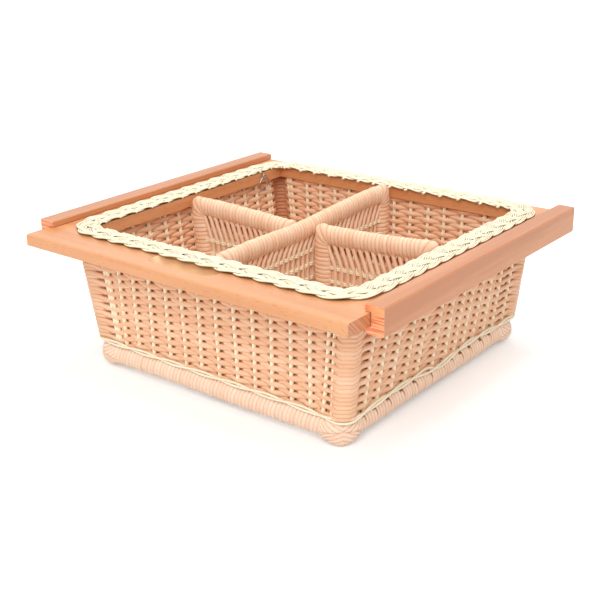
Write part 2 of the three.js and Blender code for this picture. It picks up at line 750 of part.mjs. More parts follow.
// Woven walls: a tapered ring with round corners, in four panels, each with its stakes' upper ends.
function addWalls() {
  const ring = solid(wovenRing());
  ['front', 'right', 'rear', 'left'].forEach((side, index) => {
    const panel = geometryOf(ring.intersect(solid(mitredSector(index))));
    const stakes = stakeBars(side, STAKE_DIAMETER / 2, wallTop - WALL_THICKNESS / 4, FRAME_TOP);
    addPiece(`${side}_weave`, joined([panel, ...stakes]), peachCane);
  });
}

// Waling: a band of stouter canes round the foot of the walls.
function addWaling() {
  const low = WALING_CENTRE - WALING_HEIGHT / 2;
  const high = WALING_CENTRE + WALING_HEIGHT / 2;
  const outside = grown(wallOutside, SEAT + WALING_THICKNESS);
  const outerRadius = WALL_CORNER_RADIUS + SEAT + WALING_THICKNESS;
  const outer = leaned(prismZ(roundedRectangle(outside, outerRadius), low, high));
  const innerOutline = roundedRectangle(grown(wallOutside, SEAT), WALL_CORNER_RADIUS + SEAT);
  const inner = leaned(prismZ(innerOutline, low - 1, high + 1));
  addPiece('waling_band', cut(outer, [inner]), creamCane);
}

// One corner binding of the border: an oval elbow, made larger all over by an allowance.
function cornerWrap(index, allowance) {
  const corners = cornersOf(borderLine);
  const corner = corners[index];
  const before = corners[(index + 3) % 4];
  const after = corners[(index + 1) % 4];
  const reach = cornerWrapReach + allowance;
  const start = corner.clone().add(before.clone().sub(corner).setLength(reach));
  const end = corner.clone().add(after.clone().sub(corner).setLength(reach));
  const bend = roundedCorner(before, corner, after, CORNER_WRAP_BEND, CORNER_STEPS);
  const path = [start, ...bend, end].map(({ x, y }) => new THREE.Vector3(x, y, cornerWrapCentre));
  const width = CORNER_WRAP_WIDTH + 2 * allowance;
  const height = CORNER_WRAP_HEIGHT + 2 * allowance;
  return oval(bentTube(path, width / 2), cornerWrapCentre, width, height);
}

// Bottom border: four wrapped rolls, and four stouter bindings at the corners with flat undersides, on
// which the basket stands.
function addBorder() {
  const corners = cornersOf(borderLine);
  const belowFloor = box(
    new THREE.Vector3(-FRAME_WIDTH, -FRAME_DEPTH, -CORNER_WRAP_HEIGHT),
    new THREE.Vector3(FRAME_WIDTH, FRAME_DEPTH, 0),
  );
  const cornerNames = ['front_left', 'front_right', 'rear_right', 'rear_left'];
  ['front', 'right', 'rear', 'left'].forEach((side, index) => {
    const from = corners[index];
    const to = corners[(index + 1) % 4];
    const trim = to.clone().sub(from).setLength(cornerWrapReach + SEAT);
    const start = from.clone().add(trim);
    const end = to.clone().sub(trim);
    const roll = bar(
      new THREE.Vector3(start.x, start.y, borderCentre),
      new THREE.Vector3(end.x, end.y, borderCentre),
      borderHalfWidth,
      ROLL_SIDES,
    );
    addPiece(`${side}_border`, oval(roll, borderCentre, BORDER_WIDTH, BORDER_HEIGHT), peachCane);
    addPiece(`${cornerNames[index]}_corner_wrap`, cut(cornerWrap(index, 0), [belowFloor]), peachCane);
  });
}

// Woven base: a mat inside the border, woven from side to side over ribs that run from front to back, and
// cut away round the corner bindings.
function addBase() {
  const width = borderInside.right - borderInside.left;
  const depth = borderInside.rear - borderInside.front;
  const ribs = Math.round(width / BASE_RIB_SPACING);
  const canes = Math.round(depth / BASE_ROW_SPACING);
  const phase = (column, row) => (-1) ** (column + row);
  const mat = wovenSheet({
    columns: ribs + 1,
    rows: canes + 1,
    isRing: false,
    phase,
    point: (face, column, row) => new THREE.Vector3(
      borderInside.left + (width * column) / ribs,
      borderInside.front + (depth * row) / canes,
      BASE_UNDERSIDE + BASE_THICKNESS / 2 + weaveOffset(face, phase(column, row), BASE_THICKNESS),
    ),
  });
  const wraps = [0, 1, 2, 3].map((index) => cornerWrap(index, SEAT));
  addPiece('base_weave', cut(mat, wraps), peachCane);
}

// A divider in its own upright plane: its tube's centre line, which runs on below the base to be cut off
// level, and, inside it, the panel's outline. Each post has a place and a height at the top and a place at
// the foot, and postInset gives its place at any height.
function dividerPlan(fromPost, toPost) {
  const postInset = (post, z, inset) => {
    const centreTop = post.topHeight - dividerRadius;
    const slope = (post.foot - post.top) / (centreTop - dividerFoot);
    return post.top + slope * (centreTop - z) + inset * Math.sqrt(1 + slope * slope);
  };
  const rise = (toPost.topHeight - fromPost.topHeight) / (toPost.top - fromPost.top);
  const outline = (inset, low) => {
    const drop = inset * Math.sqrt(1 + rise * rise);
    const fromHigh = fromPost.topHeight - dividerRadius - drop + rise * inset;
    const toHigh = toPost.topHeight - dividerRadius - drop - rise * inset;
    return [
      new THREE.Vector2(postInset(fromPost, low, inset), low),
      new THREE.Vector2(postInset(fromPost, fromHigh, inset), fromHigh),
      new THREE.Vector2(postInset(toPost, toHigh, -inset), toHigh),
      new THREE.Vector2(postInset(toPost, low, -inset), low),
    ];
  };
  const rounded = (points, radius) => [
    points[0],
    ...roundedCorner(points[0], points[1], points[2], radius, CORNER_STEPS),
    ...roundedCorner(points[1], points[2], points[3], radius, CORNER_STEPS),
    points[3],
  ];
  const inset = dividerRadius + SEAT;
  return {
    tube: rounded(outline(0, dividerFoot - dividerRadius), DIVIDER_BEND),
    panel: rounded(outline(inset, dividerFoot), DIVIDER_BEND - inset),
  };
}

// A divider's hoop, made round and then narrowed across its plane, and cut off level where it stands on the
// base. across is the direction square to the hoop's plane.
function dividerHoop(path, across) {
  const middle = path[0].clone().multiply(across);
  const narrowed = DIVIDER_ROLL_WIDTH / DIVIDER_ROLL_DEPTH;
  const roll = bentTube(path, dividerRadius)
    .translate(-middle.x, -middle.y, 0)
    .scale(across.x === 1 ? narrowed : 1, across.y === 1 ? narrowed : 1, 1)
    .translate(middle.x, middle.y, 0);
  const belowBase = box(
    new THREE.Vector3(-FRAME_WIDTH, -FRAME_DEPTH, -FRAME_TOP),
    new THREE.Vector3(FRAME_WIDTH, FRAME_DEPTH, dividerFoot),
  );
  return cut(roll, [belowBase]);
}

// A divider's panel between its hoop and the base: upright canes, alternately on one face and the other.
// toSpace turns a place along the panel, a stand-off from its middle and a height into a point.
function dividerPanel(outline, toSpace) {
  const foot = new THREE.LineCurve(outline[0], outline[outline.length - 1]);
  const roof = new THREE.Path(outline.slice(1, -1));
  const canes = Math.round(foot.getLength() / DIVIDER_CANE_SPACING);
  const phase = (column) => (-1) ** column;
  return wovenSheet({
    columns: canes + 1,
    rows: 2,
    isRing: false,
    phase,
    point: (face, column, row) => {
      const place = (row === 0 ? foot : roof).getPoint(column / canes);
      return toSpace(place.x, weaveOffset(face, phase(column), DIVIDER_PANEL_THICKNESS), place.y);
    },
  });
}

// Long divider: a wrapped hoop from front to back with a woven panel in it.
function addLongDivider() {
  const frontPost = {
    top: opening.front + LONG_DIVIDER_FROM_FRONT + dividerRadius,
    topHeight: LONG_DIVIDER_TOP,
    foot: borderInside.front + dividerRadius,
  };
  const rearPost = {
    top: opening.rear - LONG_DIVIDER_FROM_REAR - dividerRadius,
    topHeight: LONG_DIVIDER_TOP + LONG_DIVIDER_RISE,
    foot: borderInside.rear - dividerRadius,
  };
  const plan = dividerPlan(frontPost, rearPost);
  const tube = plan.tube.map(({ x, y }) => new THREE.Vector3(0, x, y));
  const panel = dividerPanel(plan.panel, (along, off, z) => new THREE.Vector3(off, along, z));
  addPiece('long_divider_frame', dividerHoop(tube, new THREE.Vector3(1, 0, 0)), peachCane);
  addPiece('long_divider_weave', panel, peachCane);
}

// Short dividers: a wrapped hoop to each side of the long divider, whose outer post leans with the wall.
function addShortDividers() {
  const besideLong = DIVIDER_ROLL_WIDTH / 2 + SEAT + dividerRadius;
  const innerPost = { top: besideLong, topHeight: SHORT_DIVIDER_TOP, foot: besideLong };
  const outerPost = {
    top: opening.right - BRAID_OVERHANG_SIDE - SHORT_DIVIDER_SIDE_PLAY - dividerRadius,
    topHeight: SHORT_DIVIDER_TOP + SHORT_DIVIDER_RISE,
    foot: borderInside.right - dividerRadius,
  };
  const plan = dividerPlan(innerPost, outerPost);
  const sides = [['left', -1, LEFT_DIVIDER_BEHIND_MIDDLE], ['right', 1, RIGHT_DIVIDER_BEHIND_MIDDLE]];
  for (const [sideName, sign, y] of sides) {
    const tube = plan.tube.map((point) => new THREE.Vector3(sign * point.x, y, point.y));
    const toSpace = (along, off, z) => new THREE.Vector3(sign * along, y - sign * off, z);
    addPiece(`${sideName}_divider_frame`, dividerHoop(tube, new THREE.Vector3(0, 1, 0)), peachCane);
    addPiece(`${sideName}_divider_weave`, dividerPanel(plan.panel, toSpace), peachCane);
  }
}

// Centre of the screw eye's loop, which touches the side member's inner face
const eyeCentre = new THREE.Vector3(
  opening.left + SEAT + EYE_OUTER_DIAMETER / 2,
  opening.rear - EYE_FROM_REAR,
  FRAME_TOP - EYE_BELOW_TOP,
);
const eyeBendRadius = (EYE_OUTER_DIAMETER - EYE_WIRE) / 2;

// The screw eye's shank, which runs into the side member, made larger by an allowance.
function eyeShank(allowance) {
  const inWood = new THREE.Vector3(opening.left - EYE_SHANK_LENGTH - allowance, eyeCentre.y, eyeCentre.z);
  const atLoop = new THREE.Vector3(eyeCentre.x - eyeBendRadius, eyeCentre.y, eyeCentre.z);
  return bar(inWood, atLoop, EYE_SHANK_DIAMETER / 2 + allowance, DOWEL_SIDES);
}

// Screw eye: a wire loop on a shank, with the hole through the loop along Y.
function addScrewEye() {
  const loop = new THREE.TorusGeometry(eyeBendRadius, EYE_WIRE / 2, 8, 16).rotateX(Math.PI / 2);
  loop.translate(eyeCentre.x, eyeCentre.y, eyeCentre.z);
  addPiece('screw_eye', joined([loop, eyeShank(0)]), wireSteel);
}

// Pull ring: a wire ring that hangs in the screw eye, in the plane of Y and Z.
function addRing() {
  const bendRadius = (RING_OUTER_DIAMETER - RING_WIRE) / 2;
  const drop = eyeBendRadius - EYE_WIRE / 2 - RING_WIRE / 2 - SEAT;
  const ring = new THREE.TorusGeometry(bendRadius, RING_WIRE / 2, 8, 28).rotateY(Math.PI / 2);
  ring.translate(eyeCentre.x, eyeCentre.y, eyeCentre.z - drop - bendRadius);
  addPiece('pull_ring', geometryOf(solid(ring)), wireSteel);
}

addRunners();
addFrontBoard();
addSideMembers();
addRearRail();
addDowels();
addRimBraid();
addWalls();
addWaling();
addBorder();
addBase();
addLongDivider();
addShortDividers();
addScrewEye();
addRing();

export default basket;
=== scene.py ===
# %% [markdown]
# # Pull-out kitchen basket
#
# A cane basket hangs in a beech frame, and the frame's side edges slide in two grooved runners. The CAD
# model gives the frame, the runners and plain solids of the outer shape of the cane work. This script
# keeps the wooden parts and finishes them. In the place of the plain solids it puts real cane work: woven
# walls, a twisted waling, wrapped borders, a plaited rim and a lift-out partition.
#
# Lengths are written in millimetres, and turned into metres when a mesh is made. The materials, the camera
# and the lamps are in metres.

# %% Load the frame
import math

import bpy
import numpy as np
from mathutils import Matrix, Vector


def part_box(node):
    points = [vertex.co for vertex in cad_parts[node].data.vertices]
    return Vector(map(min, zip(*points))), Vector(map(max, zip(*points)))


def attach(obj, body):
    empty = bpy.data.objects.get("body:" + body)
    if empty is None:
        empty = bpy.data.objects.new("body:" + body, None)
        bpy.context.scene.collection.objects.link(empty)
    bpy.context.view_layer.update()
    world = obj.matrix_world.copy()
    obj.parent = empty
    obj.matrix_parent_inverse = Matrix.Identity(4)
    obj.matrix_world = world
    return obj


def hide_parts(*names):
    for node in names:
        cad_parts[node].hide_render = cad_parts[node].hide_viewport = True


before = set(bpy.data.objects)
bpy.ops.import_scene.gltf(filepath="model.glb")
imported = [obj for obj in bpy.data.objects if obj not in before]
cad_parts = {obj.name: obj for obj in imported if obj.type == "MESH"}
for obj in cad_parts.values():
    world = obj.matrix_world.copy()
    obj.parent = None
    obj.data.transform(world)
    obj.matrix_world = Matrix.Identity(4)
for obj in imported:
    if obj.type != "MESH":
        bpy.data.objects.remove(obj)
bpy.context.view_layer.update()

# %% [markdown]
# ## Camera
#
# The camera stands a little above the basket and to its right. Its place, turn and lens were solved from
# the straight edges of the boards. A camera can be aimed with a constraint or with angles; here its three
# axes are worked out from azimuth, elevation and roll, because that is exactly what was solved.

# %% Camera
AZIMUTH = math.radians(38.74)
ELEVATION = math.radians(21.30)
ROLL = math.radians(-1.049)
CAMERA_PLACE = (0.88587, -1.10529, 0.63694)
LENS = 65.65
SENSOR = 36.0


def camera_axes(azimuth, elevation, roll):
    """Right, up and back axes: back points from the object to the camera, and roll turns about it."""
    back = np.array([math.sin(azimuth) * math.cos(elevation),
                     -math.cos(azimuth) * math.cos(elevation),
                     math.sin(elevation)])
    level = np.array([math.cos(azimuth), math.sin(azimuth), 0.0])
    upright = np.cross(back, level)
    right = level * math.cos(roll) + upright * math.sin(roll)
    up = upright * math.cos(roll) - level * math.sin(roll)
    return right, up, back


camera_data = bpy.data.cameras.new("camera")
camera_data.lens = LENS
camera_data.sensor_width = SENSOR
camera = bpy.data.objects.new("camera", camera_data)
bpy.context.scene.collection.objects.link(camera)
turn = Matrix(np.column_stack(camera_axes(AZIMUTH, ELEVATION, ROLL)).tolist()).to_4x4()
camera.matrix_world = Matrix.Translation(Vector(CAMERA_PLACE)) @ turn
bpy.context.scene.camera = camera
print("camera at", CAMERA_PLACE, "lens", LENS)

# %% [markdown]
# ## Surfaces from grids
#
# Almost everything here is a cane: a round bar that follows a path. Such a bar could be a curve with a
# bevel, but then its faces carry no place along and round the cane for the material to use. So each bar is
# worked out as a grid of points, rings along the path and points round each ring, and all bars of one
# piece are put into one mesh at once.

# %% Mesh from grids
MM = 0.001
CM3_IN_M3 = 1e6
SEED = 7
rng = np.random.default_rng(SEED)


def signed_volume(points, corners, sizes):
    """Sum of the tetrahedra from the origin to each face, positive where faces point outward."""
    starts = np.concatenate([[0], np.cumsum(sizes)[:-1]])
    total = 0.0
    for k in range(1, int(sizes.max()) - 1):
        on = sizes > k + 1
        a, b, c = (points[corners[starts[on] + step]] for step in (0, k, k + 1))
        total += np.einsum("ij,ij->i", a, np.cross(b, c)).sum() / 6
    return total


class Surfaces:
    """Collects grids of points, with the straightened place of every point on its own cane."""

    def __init__(self):
        self.points, self.places, self.strands, self.creases = [], [], [], []
        self.corners, self.sizes = [], []
        self.count = 0

    def add(self, points, place, strand, crease=0.0, closed_along=False):
        """A grid of points along and round. Quads join neighbours, and caps close the two open ends.

        crease is painted shade: 0 on an open face and 1 at the bottom of a groove between two canes. From
        1.1 to 1.9 it paints the cane dark brown, the shade deep in the holes of a weave.
        """
        along, round_ = points.shape[:2]
        index = self.count + np.arange(along * round_).reshape(along, round_)
        rows = np.arange(along if closed_along else along - 1)
        columns = np.arange(round_)
        r, c = np.meshgrid(rows, columns, indexing="ij")
        r1, c1 = (r + 1) % along, (c + 1) % round_
        quads = np.stack([index[r, c], index[r1, c], index[r1, c1], index[r, c1]], axis=-1).reshape(-1, 4)
        self.corners.append(quads.ravel())
        self.sizes.append(np.full(len(quads), 4))
        if not closed_along:
            self.corners.append(index[0])
            self.corners.append(index[-1][::-1])
            self.sizes.append(np.array([round_, round_]))
        self.points.append(points.reshape(-1, 3))
        self.places.append(np.broadcast_to(place, points.shape).reshape(-1, 3))
        self.strands.append(np.broadcast_to(strand, points.shape[:2]).reshape(-1))
        self.creases.append(np.broadcast_to(crease, points.shape[:2]).reshape(-1))
        self.count += along * round_

    def mesh_object(self, name, material):
        """Puts the collected points, in millimetres, into one smooth mesh object in metres."""
        points = np.concatenate(self.points) * MM
        corners = np.concatenate(self.corners).astype(np.int32)
        sizes = np.concatenate(self.sizes).astype(np.int32)
        mesh = bpy.data.meshes.new(name)
        mesh.vertices.add(len(points))
        mesh.vertices.foreach_set("co", points.ravel().astype(np.float32))
        mesh.loops.add(len(corners))
        mesh.loops.foreach_set("vertex_index", corners)
        mesh.polygons.add(len(sizes))
        starts = np.concatenate([[0], np.cumsum(sizes)[:-1]]).astype(np.int32)
        mesh.polygons.foreach_set("loop_start", starts)
        mesh.polygons.foreach_set("use_smooth", np.full(len(sizes), True))
        mesh.update(calc_edges=True)
        place = mesh.attributes.new("cane_place", "FLOAT_VECTOR", "POINT")
        place.data.foreach_set("vector", (np.concatenate(self.places) * MM).ravel().astype(np.float32))
        for key, values in (("strand", self.strands), ("crease", self.creases)):
            attribute = mesh.attributes.new(key, "FLOAT", "POINT")
            attribute.data.foreach_set("value", np.concatenate(values).astype(np.float32))
        mesh.materials.append(material)
        piece = bpy.data.objects.new(name, mesh)
        bpy.context.scene.collection.objects.link(piece)
        volume = signed_volume(points, corners, sizes) * CM3_IN_M3
        print(name, len(points), "points", int((sizes - 2).sum()), "triangles", round(volume, 1), "cm3")
        return piece


print("a millimetre is", MM, "m, and the random numbers start from", SEED)

# %% [markdown]
# ## One cane
#
# A cane is an oval section carried along a path. At each point of the path three axes are needed: along
# it, upward and sideways. Blender's own curves can twist where a path turns; here the upward axis is given
# and only made square to the path, so a section never turns about its cane.

# %% One cane
STRAND_GAP = 937.0


def unit(vectors):
    """Each vector divided by its length."""
    return vectors / np.linalg.norm(vectors, axis=-1, keepdims=True)


def lengths_of(path):
    """The distance of each point of a polyline from its start."""
    return np.concatenate([[0], np.cumsum(np.linalg.norm(np.diff(path, axis=0), axis=1))])


def path_frame(path, up, closed=False):
    """Along, sideways and upward axes at each point: up is made square to the path."""
    if closed:
        along = unit(np.roll(path, -1, axis=0) - np.roll(path, 1, axis=0))
    else:
        along = unit(np.gradient(path, axis=0))
    up = np.broadcast_to(np.asarray(up, float), path.shape)
    rise = unit(up - np.einsum("ij,ij->i", up, along)[:, None] * along)
    return along, np.cross(along, rise), rise


def cane(surfaces, path, up, width, height, sides=8, closed=False, flat=1.0, shade=None):
    """A bar along a path, oval in section: half width sideways, half height along up.

    The section is width * sign(cos) * |cos| ** flat by height * sign(sin) * |sin| ** flat, so a flat
    below 1 makes it a rounded square. shade turns the angles round the section into the crease at each
    point. Each cane lies at its own stretch of one long imaginary cane, so no two show the same fibres.
    """
    along, aside, rise = path_frame(path, up, closed)
    angle = 2 * np.pi * np.arange(sides) / sides
    width = np.broadcast_to(np.asarray(width, float), len(path))[:, None]
    height = np.broadcast_to(np.asarray(height, float), len(path))[:, None]
    beside = width * np.sign(np.cos(angle)) * np.abs(np.cos(angle)) ** flat
    above = height * np.sign(np.sin(angle)) * np.abs(np.sin(angle)) ** flat
    ring = beside[..., None] * aside[:, None] + above[..., None] * rise[:, None]
    strand = rng.random()
    own_length = lengths_of(path)[:, None] + STRAND_GAP * strand
    place = np.stack(np.broadcast_arrays(own_length, beside, above), axis=-1)
    crease = 0.0 if shade is None else shade(angle[None, :])
    surfaces.add(path[:, None] + ring, place, strand, crease=crease, closed_along=closed)


print("a path round two sides of a 3 by 4 mm corner:",
      lengths_of(np.array([[3.0, 0, 0], [0, 0, 0], [0, 4, 0]])).tolist(), "mm")

# %% [markdown]
# ## Finishes
#
# Cane is a fibrous skin with a satin face. Its colour changes a little from strand to strand, and fine
# fibres run along it. Each cane mesh stores where every point lies on its own straightened cane, so a
# noise that is stretched along that place gives fibres that follow each bend. Beech has growth rings round
# the trunk's axis and short dark flecks along the grain. Both finishes are node trees, so they cost no
# pictures and stay sharp at any distance.

# %% Node helpers
def linear(red, green, blue):
    """A colour written as 0 to 255 on the screen, as the shader's linear values."""
    screen = np.array([red, green, blue]) / 255.0
    value = np.where(screen <= 0.04045, screen / 12.92, ((screen + 0.055) / 1.055) ** 2.4)
    return (*value.tolist(), 1.0)


class Nodes:
    """Short names for adding and joining shader nodes."""

    def __init__(self, name):
        self.material = bpy.data.materials.new(name)
        self.material.use_nodes = True
        self.tree = self.material.node_tree
        self.tree.nodes.clear()

    def node(self, kind, inputs=None, **settings):
        node = self.tree.nodes.new(kind)
        for key, value in settings.items():
            setattr(node, key, value)
        for key, value in (inputs or {}).items():
            if isinstance(value, bpy.types.NodeSocket):
                self.tree.links.new(value, node.inputs[key])
            else:
                node.inputs[key].default_value = value
        return node

    def math(self, operation, a, b=0.0, clamp=False):
        return self.node("ShaderNodeMath", {0: a, 1: b}, operation=operation, use_clamp=clamp).outputs[0]

    def mix(self, share, a, b):
        """Colour a where share is 0 and b where it is 1. Sockets 0, 6, 7 and 2 are those for colours."""
        return self.node("ShaderNodeMix", {0: share, 6: a, 7: b}, data_type="RGBA").outputs[2]

    def attribute(self, name):
        return self.node("ShaderNodeAttribute", attribute_name=name)

    def noise(self, vector, scale, detail=2.0, roughness=0.5):
        inputs = {"Vector": vector, "Scale": scale, "Detail": detail, "Roughness": roughness}
        return self.node("ShaderNodeTexNoise", inputs).outputs["Fac"]

    def scaled(self, vector, scale, location=(0, 0, 0)):
        inputs = {"Vector": vector, "Location": location, "Scale": scale}
        return self.node("ShaderNodeMapping", inputs).outputs["Vector"]

    def ramp(self, value, low, high):
        """0 below low, 1 above high, and smooth between."""
        inputs = {"Value": value, "From Min": low, "From Max": high}
        node = self.node("ShaderNodeMapRange", inputs, interpolation_type="SMOOTHSTEP", clamp=True)
        return node.outputs["Result"]

    def bump(self, height, strength, distance):
        inputs = {"Strength": strength, "Distance": distance, "Height": height}
        return self.node("ShaderNodeBump", inputs).outputs["Normal"]

    def finish(self, color, roughness, **others):
        """Joins a principled shader to the output. Other sockets' names are written with _ for a space."""
        inputs = {"Base Color": color, "Roughness": roughness}
        inputs.update({key.replace("_", " "): value for key, value in others.items()})
        shader = self.node("ShaderNodeBsdfPrincipled", inputs)
        self.node("ShaderNodeOutputMaterial", {"Surface": shader.outputs[0]})
        return self.material


print("a screen value of 128 is", round(linear(128, 128, 128)[0], 3), "in a shader")

# %% Cane finish
# Changes in a metre of cane, along it and across: slow paler stretches, and fibres
SLOW_SCALE, FIBRE_SCALE = (14, 60, 60), (45, 1500, 1500)
# Painted shade: the dark brown deep in the holes of a weave and in hooked grooves
PAINTED_HOLE_SHADE = linear(104, 58, 32)
# Light, dark and pale shades of each finish, and the painted shade deep in its creases
CANE_SHADES = {
    "peach_cane": ((250, 209, 174), (240, 187, 147), (252, 219, 188), (196, 118, 72)),
    "cream_cane": ((252, 244, 220), (244, 232, 201), (254, 250, 234), (150, 136, 92)),
    "stake_cane": ((255, 245, 216), (253, 238, 202), (255, 249, 228), (176, 130, 84)),
    "border_cane": ((254, 227, 203), (250, 214, 184), (255, 235, 216), (212, 150, 108)),
    # The partition's cane is the peach cane made paler: painted light for the shade inside the basket
    "partition_cane_painted_light": ((255, 222, 190), (250, 204, 167), (255, 231, 206), (206, 124, 80)),
}


def cane_material(name, light, dark, pale, deep):
    """Cane: strand to strand between light and dark, slow paler stretches, fibres, and painted shade in
    creases.
    """
    nodes = Nodes(name)
    place = nodes.attribute("cane_place").outputs["Vector"]
    strand = nodes.attribute("strand").outputs["Fac"]
    own = nodes.node("ShaderNodeTexWhiteNoise", {"W": strand}, noise_dimensions="1D").outputs["Value"]
    slow = nodes.noise(nodes.scaled(place, SLOW_SCALE), 1.0, detail=1.0)
    fibres = nodes.noise(nodes.scaled(place, FIBRE_SCALE), 1.0, detail=2.0)
    share = nodes.math("ADD", nodes.math("MULTIPLY", own, 0.55), nodes.math("MULTIPLY", slow, 0.45))
    color = nodes.mix(nodes.ramp(share, 0.15, 0.85), light, dark)
    color = nodes.mix(nodes.math("MULTIPLY", nodes.ramp(slow, 0.55, 0.75), 0.35), color, pale)
    color = nodes.mix(nodes.math("MULTIPLY", nodes.ramp(fibres, 0.52, 0.72), 0.22), color, dark)
    # Painted shade: the crease attribute darkens grooves towards the deep colour, and holes to dark brown
    crease = nodes.attribute("crease").outputs["Fac"]
    color = nodes.mix(nodes.math("MULTIPLY", crease, 0.85, clamp=True), color, deep)
    color = nodes.mix(nodes.ramp(crease, 1.1, 1.9), color, PAINTED_HOLE_SHADE)
    roughness = nodes.math("ADD", nodes.math("MULTIPLY", fibres, 0.2), 0.42)
    return nodes.finish(color, roughness, Normal=nodes.bump(fibres, 0.25, 0.0004))


peach_cane, cream_cane, stake_cane, border_cane, partition_cane_painted_light = (
    cane_material(name, *(linear(*shade) for shade in shades)) for name, shades in CANE_SHADES.items())
print("cane finishes", list(CANE_SHADES))

# %% [markdown]
# ## Wall plan
#
# The basket narrows downward: its sides lean in by 137 mm in a metre, the front by 72 and the rear by 40.
# Every row of the weave follows a rounded rectangle whose size depends on the height. A point on such a
# loop is found from its distance along it: the loop is four straight runs and four quarter turns, and the
# point is the sum of how far each of the eight has been followed.

# %% Wall plan
WALL_TOP = 181.0
HALF_WIDTH, FRONT, REAR = 227.0, -191.0, 230.0
LEAN_SIDE, LEAN_FRONT, LEAN_REAR = 0.137, 0.072, 0.040
CORNER_RADIUS = 10.0


def wall_plan(z):
    """Half width, front and rear of the wall's middle line at a height."""
    drop = WALL_TOP - np.asarray(z, float)
    return HALF_WIDTH - LEAN_SIDE * drop, FRONT + LEAN_FRONT * drop, REAR - LEAN_REAR * drop


def loop_parts(half, front, rear, radius):
    """Lengths of the eight parts of a rounded rectangle, from the front's left end round to the right."""
    turn_length = np.pi / 2 * radius
    across = 2 * half - 2 * radius
    deep = rear - front - 2 * radius
    return np.array([across, turn_length, deep, turn_length, across, turn_length, deep, turn_length])


def loop_points(half, front, rear, radius, distance):
    """Points and outward normals at distances along a rounded rectangle in plan."""
    lengths = loop_parts(half, front, rear, radius)
    starts = np.concatenate([[0], np.cumsum(lengths)[:-1]])
    distance = np.mod(distance, lengths.sum())
    directions = np.array([(1, 0), (0, 1), (-1, 0), (0, -1), (1, 0)], float)
    point = np.zeros(distance.shape + (2,)) + np.array([-half + radius, front])
    heading = np.zeros(distance.shape)
    for part, (start, length) in enumerate(zip(starts, lengths)):
        gone = np.clip(distance - start, 0, length)
        ahead, aside = directions[part // 2], directions[part // 2 + 1]
        if part % 2 == 0:
            point += gone[..., None] * ahead
        else:
            turn_by = (gone / radius)[..., None]
            point += radius * (np.sin(turn_by) * ahead + (1 - np.cos(turn_by)) * aside)
            heading += turn_by[..., 0]
    normal = np.stack([np.sin(heading), -np.cos(heading)], axis=-1)
    return point, normal


def loop_distance(half, front, rear, radius, side, place):
    """Distance along the loop of a place on one side: x on the front and rear, y on the sides."""
    lengths = loop_parts(half, front, rear, radius)
    starts = np.concatenate([[0], np.cumsum(lengths)])
    if side == "front":
        return place + half - radius
    if side == "right":
        return starts[2] + place - front - radius
    if side == "rear":
        return starts[4] + half - radius - place
    return starts[6] + rear - radius - place


top_loop = loop_parts(*wall_plan(WALL_TOP), CORNER_RADIUS).sum()
print("wall loop at the top", round(float(top_loop)), "mm round")

# %% [markdown]
# ## Stakes
#
# The stakes are the uprights of the weave. They pass up through holes in the frame, so their upper places
# are the CAD's; on the way down they close up a little, because the walls narrow. A stake could be one
# straight bar, but a cane in a weave is never quite straight, so each gets a slow wander of 0.4 mm. It is
# an oval, deeper than it is wide, so that it fills the holes between the rows. Above the frame it turns
# inward and ends under the rim.

# %% Places of the stakes
LOW = 45.0
# On each side, the place of every stake at the top of the wall and at the height LOW
STAKES = {
    "front": [(-186, -174), (-180, -169), (-154, -157), (-126, -133), (-96, -105), (-68, -73), (-40, -45),
              (-10, -17), (19, 13), (49, 44), (80, 73), (109, 101), (139, 131), (169, 159), (199, 179),
              (206, 191)],
    "right": [(-144, -145), (-113, -119), (-84, -89), (-52, -59), (-23, -31), (10, 7), (35, 38), (65, 61),
              (90, 83), (118, 107), (137, 137), (163, 163), (194, 191)],
    "rear": [(-204, -186), (-198, -181), (-165, -156), (-138, -132), (-109, -105), (-82, -79), (-54, -53),
             (-26, -26), (3, 3), (32, 31), (63, 61), (91, 88), (121, 117), (157, 151), (185, 176)],
    "left": [(-155, -150), (-128, -126), (-98, -98), (-67, -68), (-34, -36), (-6, -8), (23, 21), (52, 50),
             (82, 80), (112, 110), (142, 139), (170, 167), (197, 194), (204, 199)],
}
# Neighbours that a row passes on the same side of, by their upper places
PAIRED = {("front", -180), ("front", 206), ("right", 194), ("rear", -204), ("left", 197), ("left", 204)}


def stake_place(upper, lower, z):
    """Place of a stake along its side at a height, straight from its upper to its lower place."""
    return lower + (upper - lower) * (np.asarray(z, float) - LOW) / (WALL_TOP - LOW)


def stake_point(side, place, z):
    """The point of the wall's middle line on one side at a height."""
    half, front, rear = wall_plan(np.minimum(z, WALL_TOP))
    if side in ("front", "rear"):
        return np.stack([place, front if side == "front" else rear, z], axis=-1)
    return np.stack([half if side == "right" else -half, place, z], axis=-1)


print(sum(len(row) for row in STAKES.values()), "stakes,", len(PAIRED), "of them beside another")

# %% Stakes
STAKE_HALF_WIDTH, STAKE_HALF_DEPTH = 2.9, 5.0
STAKE_FOOT, STAKE_TOP, STAKE_WANDER = 33.0, 197.0, 0.4
TURN_HALF_WIDTH, TURN_HALF_HEIGHT = 1.9, 1.7
TURN_HEIGHT, TURN_DROP = 200.0, 0.9
# The way into the basket from each side, and how far a stake's turned end reaches
INWARD = {"front": (0, 1), "rear": (0, -1), "left": (1, 0), "right": (-1, 0)}
TURN_REACH = {"front": 15.6, "rear": 19.5, "left": 15.6, "right": 15.6}


def flank_shade(angle):
    """Dark brown in the middle of a stake's two flanks, which lie in the shade of the holes."""
    return 1.5 * np.clip((0.45 - np.abs(np.sin(angle))) / 0.35, 0, 1)


